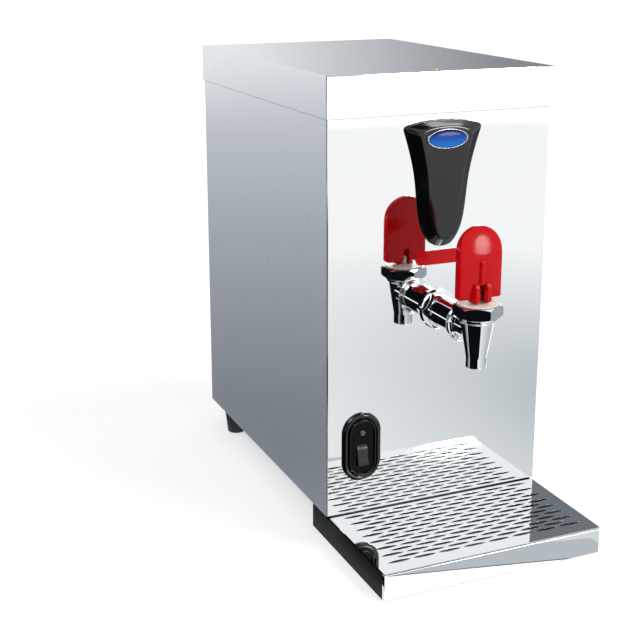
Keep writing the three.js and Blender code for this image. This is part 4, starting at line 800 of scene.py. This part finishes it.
class BOILER_OT_lever(bpy.types.Operator):
    """Mould the red lever with its crown, rib and two prongs"""
    bl_idname = "boiler.lever"
    bl_label = "Lever"

    def execute(self, context):
        sizes = context.scene.boiler_sizes
        low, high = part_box("tap_lever")
        pin = middle_of("lever_pin")
        half = high.x
        back, front = pin.y + LEVER_BLADE / 2, pin.y - LEVER_BLADE / 2
        bottom = pin.z - LEVER_FOOT
        tall = high.z - bottom
        middle = bottom + tall / 2
        edge = 0.5 * MM
        rings = [
            (1 - edge / half, 1 - edge / (tall / 2), middle, back),
            (1.0, 1.0, middle, back - edge)]
        rings += [
            (1 - inset, 1 - inset * half / (tall / 2), middle,
             front + 0.7 * sizes.lever_crown - sizes.lever_crown * rise)
            for inset, rise in LEVER_SWELL]
        bm = self.arch(half, high.z - half, bottom, sizes.lever_corner)
        loft(bm, bm.verts[:] + bm.edges[:], rings)
        crease = high.z - LEVER_HEAD * tall
        cut(bm, (0, 0, crease), (0, 0, 1))
        leaning = [v for v in bm.verts if v.co.z > crease and v.co.y < back - 3 * MM]
        lean = Matrix.Identity(4)
        lean[1][2] = tan(sizes.lever_lean)
        bmesh.ops.transform(
            bm, matrix=lean, space=Matrix.Translation((0, 0, -crease)), verts=leaning)
        self.notch(bm, NOTCH_HALF, pin.z + NOTCH_RISE)
        prongs = [self.prong(pin, side, front, back, low.y) for side in (-1, 1)]
        whole = together(bm, self.rib(pin, front), *prongs)
        piece("red_tap_lever", whole, "lever_body", "tap_lever", smooth=50)
        rounded_copy("steel_lever_pin", "lever_pin", "lever_body", 0.2 * MM, 60, 2)
        return {"FINISHED"}

    def arch(self, half, spring, bottom, corner):
        """The blade's outline: a half round over straight sides, with rounded lower corners."""
        bm = bmesh.new()
        stand = Matrix.Translation((0, 0, spring)) @ Matrix.Rotation(pi / 2, 4, "X")
        made = bmesh.ops.create_circle(bm, segments=96, radius=half, cap_ends=False, matrix=stand)
        lower = [v for v in made["verts"] if v.co.z < spring - SAME]
        bmesh.ops.delete(bm, geom=lower, context="VERTS")
        ends = [v for v in bm.verts if abs(v.co.z - spring) < SAME]
        feet = bmesh.ops.extrude_vert_indiv(bm, verts=ends)["verts"]
        bmesh.ops.translate(bm, vec=(0, 0, bottom - spring), verts=feet)
        bm.edges.new(feet)
        bmesh.ops.edgeloop_fill(bm, edges=bm.edges[:])
        bmesh.ops.bevel(
            bm, geom=feet, offset=corner, offset_type="OFFSET", affect="VERTICES", segments=6,
            profile=0.5, material=-1)
        bmesh.ops.delete(bm, geom=bm.faces[:], context="FACES_ONLY")
        return bm

    def notch(self, bm, half, top):
        """The notch that the stem stands in: cut out of the blade's foot, then walled."""
        walls = ((0, -half), (0, half), (2, top))
        for axis, level in walls:
            facing = Vector((axis == 0, 0, axis == 2))
            cut(bm, facing * level, facing)
        gone = [
            f for f in bm.faces
            if abs(f.calc_center_median().x) < half and f.calc_center_median().z < top]
        bmesh.ops.delete(bm, geom=gone, context="FACES")
        for side in (-1, 1):
            bm.edges.new([
                v for v in bm.verts
                if v.is_boundary and abs(v.co.x - side * half) < SAME and abs(v.co.z - top) < SAME])
        for axis, level in walls:
            loop = [
                e for e in bm.edges
                if (e.is_boundary or e.is_wire)
                and all(abs(v.co[axis] - level) < SAME for v in e.verts)]
            bmesh.ops.edgeloop_fill(bm, edges=loop)
        bmesh.ops.recalc_face_normals(bm, faces=bm.faces)

    def rib(self, pin, front):
        """The raised rib up the middle: an upright bar with a rounded front and top."""
        bm = bmesh.new()
        place = Matrix.Translation((0, front - 0.15 * MM, pin.z + RIB_RISE))
        bmesh.ops.create_cube(bm, size=1, matrix=place @ Matrix.Diagonal((*RIB_SIZE, 1)))
        round_edges(bm, 1.6 * MM, 60, 5)
        return bm

    def prong(self, pin, side, front, back, nose):
        """One prong: its side view, drawn out across, with all its edges rounded."""
        bm = bmesh.new()
        width = 4.6 * MM
        back -= 1.2 * MM
        # Place along the side view, and height over the pin in millimetres
        view = (
            (back, -4.5), (back, 11.7), (front, 11.7), (front - 2.2 * MM, 11.7), (nose, 9.6),
            (nose, -2.2), (nose + 1.4 * MM, -3.6), (nose + 3.6 * MM, -4.4))
        face = bm.faces.new([
            bm.verts.new((side * NOTCH_HALF, y, pin.z + up * MM)) for y, up in view])
        made = bmesh.ops.extrude_face_region(bm, geom=[face])["geom"]
        bmesh.ops.translate(bm, vec=(side * width, 0, 0), verts=verts_in(made))
        bmesh.ops.recalc_face_normals(bm, faces=bm.faces)
        round_edges(bm, 1.0 * MM, 25, 4)
        return bm


# ---------------------------------------------------------------- tray and back

# The grille's slots: size, pitch, rows from the back, and slots in even and odd rows
SLOT_LONG, SLOT_WIDE = 20.5 * MM, 3.4 * MM
SLOT_ACROSS, SLOT_ALONG, SLOT_FIRST = 23.05 * MM, 6.04 * MM, -4.9 * MM
SLOT_ROWS, SLOT_COUNTS = 15, (8, 7)
# Half a slot's outline, from one end to the other: shares of its length and of its half width
SLOT_SIDE = ((-0.36, 0.62), (-0.15, 1), (0.15, 1), (0.36, 0.62))
SLOT_TIP = 0.1 * MM
# The gap that the grille leaves at the panel, its skirt's thickness and its unpierced border
GRILLE_GAP, GRILLE_SKIRT, GRILLE_BORDER = 0.9 * MM, 1.5 * MM, 2 * MM
# The grille's second finish puts painted shade on the slot walls: the near black sheared finish
# stands for the shade inside each slot
PIERCED_AND_SHADED = 1  # The grille's second finish


class BOILER_OT_tray(bpy.types.Operator):
    """Make the tray carrier, the drip tray, its front plate and the slotted grille"""
    bl_idname = "boiler.tray"
    bl_label = "Tray and grille"

    def execute(self, context):
        sizes = context.scene.boiler_sizes
        edge = sizes.plastic_edge
        rounded_copy("black_tray_carrier", "tray_carrier", "cabinet", edge, 60, 3, 4 * MM)
        rounded_copy("steel_drip_tray", "drip_tray", "tray_body", sizes.rim, 60, 2, 4 * MM)
        rounded_copy("polished_tray_front", "tray_front", "tray_body", edge, 60, 3, 3 * MM)
        low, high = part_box("drip_grille")
        high.y -= GRILLE_GAP
        under = high.z - sizes.grille_sheet
        sheet = self.slots(sizes.slot_rim, high, under)
        for z in (under, high.z):
            plate = rectangle(sheet, low, high, z)["verts"]
            faces = list({f for v in plate for f in v.link_faces})
            bmesh.ops.delete(sheet, geom=faces, context="FACES_ONLY")
            level = [e for e in sheet.edges if all(abs(v.co.z - z) < ON_PLANE for v in e.verts)]
            bmesh.ops.triangle_fill(sheet, use_beauty=True, edges=level, normal=(0, 0, 1))
        bmesh.ops.bridge_loops(sheet, edges=[e for e in sheet.edges if e.is_boundary])
        bmesh.ops.recalc_face_normals(sheet, faces=sheet.faces)
        grille = together(sheet, self.skirt(low, high, under))
        made = piece("slotted_drip_grille", grille, "grille_body", "drip_grille", smooth=30)
        made.data.materials.append(FINISH["sheared_edge_and_shade"])
        # Painted shade: the slot walls inside the unpierced border wear the near black sheared
        # finish
        for face in made.data.polygons:
            wall = abs(face.normal.z) < 0.3 and abs(face.center.x) < high.x - GRILLE_BORDER
            if wall and low.y + GRILLE_BORDER < face.center.y < high.y - GRILLE_BORDER:
                face.material_index = PIERCED_AND_SHADED
        return {"FINISHED"}

    def slots(self, rim, high, under):
        """The walls of one pressed, lens-shaped slot, copied to every place."""
        bm = bmesh.new()
        half, waist = SLOT_LONG / 2, SLOT_WIDE / 2
        near = [(-half, -SLOT_TIP)] + [(x * SLOT_LONG, -y * waist) for x, y in SLOT_SIDE]
        near.append((half, -SLOT_TIP))
        outline = near + [(-x, -y) for x, y in near]
        ring = [bm.verts.new((x, y, 0)) for x, y in outline]
        edges = [bm.edges.new(pair) for pair in zip(ring, ring[1:] + ring[:1])]
        loops = []
        steps = ((rim, high.z), (0.3 * rim, high.z - 0.3 * rim), (0, high.z - rim), (0, under))
        for wider, z in steps:
            made = bmesh.ops.duplicate(bm, geom=ring + edges)["geom"]
            verts = verts_in(made)
            bmesh.ops.scale(bm, vec=(1 + wider / half, 1 + wider / waist, 1), verts=verts)
            bmesh.ops.translate(bm, vec=(0, 0, z), verts=verts)
            loops.append(edges_in(made))
        bmesh.ops.delete(bm, geom=ring, context="VERTS")
        for upper, lower in zip(loops, loops[1:]):
            bmesh.ops.bridge_loops(bm, edges=upper + lower)
        first = geometry(bm)
        for row in range(SLOT_ROWS):
            count = SLOT_COUNTS[row % 2]
            for column in range(count):
                made = bmesh.ops.duplicate(bm, geom=first)["geom"]
                place = ((column - (count - 1) / 2) * SLOT_ACROSS,
                         high.y + SLOT_FIRST - row * SLOT_ALONG, 0)
                bmesh.ops.translate(bm, vec=place, verts=verts_in(made))
        bmesh.ops.delete(bm, geom=verts_in(first), context="VERTS")
        return bm

    def skirt(self, low, high, under):
        """The grille's turned-down edge."""
        bm = bmesh.new()
        rectangle(bm, low, high, under)
        inner = bm.faces[:]
        bmesh.ops.inset_region(bm, faces=inner, thickness=GRILLE_SKIRT)
        bmesh.ops.delete(bm, geom=inner, context="FACES")
        made = bmesh.ops.extrude_face_region(bm, geom=bm.faces[:])["geom"]
        bmesh.ops.translate(bm, vec=(0, 0, low.z - under), verts=verts_in(made))
        bmesh.ops.recalc_face_normals(bm, faces=bm.faces)
        return bm


class BOILER_OT_connections(bpy.types.Operator):
    """Make the inlet, its nut, the cable gland and the drain at the back and below"""
    bl_idname = "boiler.connections"
    bl_label = "Connections"

    def execute(self, context):
        for node in ("inlet_nut", "gland_nut", "cable_gland", "drain_plug", "inlet_valve"):
            rounded_copy(node + "_finished", node, "cabinet",
                         context.scene.boiler_sizes.metal_edge, 40, 2, 1.5 * MM)
        return {"FINISHED"}


# ---------------------------------------------------------------- studio

def glow(name, code, far_code=None, centre=(0, 0, 0), along=None, reach=(0.0, 1.0), bend=1.0,
         squeeze=(1, 1, 1)):
    """A card's own light: one tone, or a run to another tone over a reach in metres, away from a
    centre or along a direction from it. A bend under 1 makes the run start faster."""
    material, tree = new_material(name)
    light = add_node(tree, "Emission", {"Color": linear(code), "Strength": 1.0})
    add_node(tree, "OutputMaterial", links={"Surface": light.outputs["Emission"]})
    if far_code:
        place = add_node(tree, "TexCoord").outputs["Object"]
        away = add_node(tree, "VectorMath", {"operation": "SUBTRACT", 1: centre}, {0: place})
        away = add_node(tree, "VectorMath", {"operation": "MULTIPLY", 1: squeeze},
                        {0: away.outputs["Vector"]})
        measure = {"operation": "DOT_PRODUCT", 1: along} if along else {"operation": "LENGTH"}
        far = add_node(tree, "VectorMath", measure, {0: away.outputs["Vector"]})
        run = add_node(tree, "MapRange", {"From Min": reach[0], "From Max": reach[1]},
                       {"Value": far.outputs["Value"]})
        bent = add_node(tree, "Math", {"operation": "POWER", 1: bend}, {0: run.outputs["Result"]})
        run_colour(tree, light.inputs["Color"], bent.outputs[0], linear(code), linear(far_code))
    return material


def facing(centre, towards, forward):
    """Stands at centre with the forward axis towards a point."""
    turn = (Vector(towards) - Vector(centre)).to_track_quat(forward, "Y").to_matrix().to_4x4()
    return Matrix.Translation(centre) @ turn


def card(name, centre, towards, width, height, material, turn=0.0):
    """A studio card that only reflections see. It faces towards a point, turned in its plane."""
    bm = bmesh.new()
    place = facing(centre, towards, "Z") @ Matrix.Rotation(radians(turn), 4, "Z")
    place @= Matrix.Diagonal((width, height, 1, 1))
    bmesh.ops.create_grid(bm, x_segments=1, y_segments=1, size=0.5, matrix=place)
    made = make_object(name, bm, material)
    made.visible_camera = made.visible_diffuse = made.visible_shadow = False
    made.visible_transmission = made.visible_volume_scatter = False


def floor_card(name, place, width, height, material, turn=0.0):
    card(name, Vector(place), Vector(place) + Vector((0, 0, 1)), width, height, material, turn)


def lamp(name, centre, towards, size, watts):
    data = bpy.data.lights.new(name, "AREA")
    data.shape = "DISK"
    data.size = size
    data.energy = watts
    made = bpy.data.objects.new(name, data)
    made.matrix_world = facing(centre, towards, "-Z")
    bpy.context.scene.collection.objects.link(made)


def sight(tree):
    """1 where the camera, a mirror or a glass sees the surface without a matt bounce between."""
    path = add_node(tree, "LightPath")
    seen = add_node(tree, "Math", {"operation": "MAXIMUM"},
                    {0: path.outputs["Is Camera Ray"], 1: path.outputs["Is Glossy Ray"]})
    seen = add_node(tree, "Math", {"operation": "MAXIMUM"},
                    {0: seen.outputs[0], 1: path.outputs["Is Transmission Ray"]})
    direct = add_node(tree, "Math", {"operation": "LESS_THAN", 1: 0.5},
                      {0: path.outputs["Diffuse Depth"]})
    return add_node(tree, "Math", {"operation": "MULTIPLY"},
                    {0: seen.outputs[0], 1: direct.outputs[0]}).outputs[0]


class BOILER_OT_stage(bpy.types.Operator):
    """Set the pale floor, the soft lamps, the reflection cards and the camera"""
    bl_idname = "boiler.stage"
    bl_label = "Stage"

    def execute(self, context):
        scene = context.scene
        scene.view_settings.view_transform = "Standard"
        self.floor(scene)
        self.world(scene)
        middle = (0, 0, 0.2)
        lamp("key lamp", (-1.5, -1.3, 1.9), middle, 1.2, 14)
        lamp("front lamp", (0.78, -1.5, 0.46), middle, 0.36, 6)
        lamp("top lamp", (0.85, -0.55, 1.85), middle, 0.8, 10)
        dark = glow("dark card", "#0b0d10")
        floor_card("left dark card", (-0.81, -0.7, 0.002), 1.4, 1.2, dark)
        card("left standing card", (-1.5, -0.2, 0.6), (0, -0.17, 0.3), 1.6, 1.2, dark)
        card("ceiling card", (-0.1, -0.5, 1.8), middle, 1.1, 0.9, dark)
        floor_card("camera side card", (-0.3, -0.85, 0.003), 0.16, 1.1, dark, -25)
        floor_card("right card", (1.25, 0.35, 0.002), 1.6, 1.4, glow("grey card", "#a4aab0"))
        back = glow("back card", "#ffffff", "#70767c", (0.48, 0, 0), (1, 0, 0), (0.16, 0.67), 0.8)
        card("back right card", (1.3, 1.5, 0.8), (0, 0, 0.2), 2.4, 3.0, back)
        side = glow("side floor card", "#868b91", "#c6cbd1", (-0.1, 0.15, 0), None, (0.1, 1.6), 0.8)
        floor_card("side floor card", (-1.31, 1.41, 0.002), 2.4, 3.0, side)
        # It ends left of the middle, so that the panel stays bright from straight ahead
        card("dark wall", (-1.45, -2.6, 1.12), (-0.75, -0.17, 1.12), 1.9, 2.2, dark)
        near = glow("front floor card", "#bfc6ca", "#ffffff", (0.34, -0.22, 0), None, (0.1, 0.5),
                    0.8, (1, 0.6, 1))
        floor_card("right of tray card", (0.71, -0.25, 0.0015), 1.2, 0.285, near)
        # The front card starts at the tray, with a dark edge and a grey strip along its start
        turn = 12.6
        start = Vector((-0.005, -0.231, 0.001))
        ahead = Vector((sin(radians(turn)), -cos(radians(turn)), 0))
        floor_card("front floor card", start + 1.1 * ahead, 2.2, 2.2, near, turn)
        floor_card("front card strip", start + 0.016 * ahead + Vector((0, 0, 0.0002)), 2.2, 0.03,
                   glow("near grey card", "#bcc3c7"), turn)
        floor_card("front card edge", start, 2.2, 0.002, glow("card edge", "#3a4046"), turn)
        self.camera(scene)
        return {"FINISHED"}

    def camera(self, scene):
        """It stands where the photograph was taken from, and looks down with a small shift."""
        data = bpy.data.cameras.new("photo camera")
        data.lens = 69.446
        data.sensor_width = 36
        data.shift_y = -0.1
        camera = bpy.data.objects.new("photo camera", data)
        camera.location = (-0.4929, -0.9929, 0.5062)
        camera.rotation_euler = (radians(75.5), 0, radians(-23.38))
        scene.collection.objects.link(camera)
        scene.camera = camera

    def floor(self, scene):
        """The floor is a diffuse sheet that shows the shadow. What the camera and mirrors see of
        it also glows a little, more so away from the object, so that it is white where nothing
        shades it."""
        material, tree = new_material("pale floor")
        place = add_node(tree, "TexCoord").outputs["Object"]
        away = add_node(tree, "VectorMath", {"operation": "LENGTH"}, {0: place})
        rise = add_node(
            tree, "MapRange", {"From Min": 0.7, "From Max": 2.6, "To Min": 0.5, "To Max": 0.8},
            {"Value": away.outputs["Value"]})
        lift = add_node(tree, "Math", {"operation": "MULTIPLY"},
                        {0: sight(tree), 1: rise.outputs["Result"]})
        glowing = add_node(tree, "Emission", {"Color": (1, 1, 1, 1)},
                           {"Strength": lift.outputs[0]})
        sheet = add_node(tree, "BsdfDiffuse", {"Color": tone(scene.boiler_colours.floor)})
        both = add_node(tree, "AddShader",
                        links={0: sheet.outputs["BSDF"], 1: glowing.outputs["Emission"]})
        add_node(tree, "OutputMaterial", links={"Surface": both.outputs["Shader"]})
        bm = bmesh.new()
        bmesh.ops.create_grid(bm, x_segments=1, y_segments=1, size=scene.boiler_sizes.floor / 2)
        make_object("floor", bm, material)

    def world(self, scene):
        """A white surround: even light on the object, full white to the camera and mirrors."""
        scene.world = bpy.data.worlds.new("white surround")
        scene.world.use_nodes = True
        tree = scene.world.node_tree
        tree.nodes.clear()
        strength = add_node(tree, "MapRange", {"To Min": 0.42, "To Max": 1.0},
                            {"Value": sight(tree)})
        sky = add_node(tree, "Background", {"Color": (1, 1, 1, 1)},
                       {"Strength": strength.outputs["Result"]})
        add_node(tree, "OutputWorld", links={"Surface": sky.outputs["Background"]})


# ---------------------------------------------------------------- panel and run

STEPS = (
    BOILER_OT_stage, BOILER_OT_finishes, BOILER_OT_cabinet, BOILER_OT_lid_screw,
    BOILER_OT_rear_feet, BOILER_OT_tap_cover, BOILER_OT_badge, BOILER_OT_red_plate,
    BOILER_OT_switch, BOILER_OT_tap, BOILER_OT_lever, BOILER_OT_tray, BOILER_OT_connections)


class BOILER_PT_sidebar(bpy.types.Panel):
    """Lists the boiler's sizes, colours and pieces"""
    bl_label = "Water boiler"
    bl_idname = "BOILER_PT_sidebar"
    bl_space_type = "VIEW_3D"
    bl_region_type = "UI"
    bl_category = "Water boiler"

    def draw(self, context):
        for group in (context.scene.boiler_sizes, context.scene.boiler_colours):
            for name in group.bl_rna.properties.keys():
                if name not in ("rna_type", "name"):
                    self.layout.prop(group, name)
        for step in STEPS:
            self.layout.operator(step.bl_idname)


CLASSES = (BoilerSizes, BoilerColours) + STEPS + (BOILER_PT_sidebar,)


def register():
    for cls in CLASSES:
        bpy.utils.register_class(cls)
    bpy.types.Scene.boiler_sizes = bpy.props.PointerProperty(type=BoilerSizes)
    bpy.types.Scene.boiler_colours = bpy.props.PointerProperty(type=BoilerColours)


def unregister():
    del bpy.types.Scene.boiler_colours
    del bpy.types.Scene.boiler_sizes
    for cls in reversed(CLASSES):
        bpy.utils.unregister_class(cls)


def main():
    register()
    for step in STEPS:
        group, name = step.bl_idname.split(".")
        getattr(getattr(bpy.ops, group), name)()


if __name__ == "__main__":
    main()
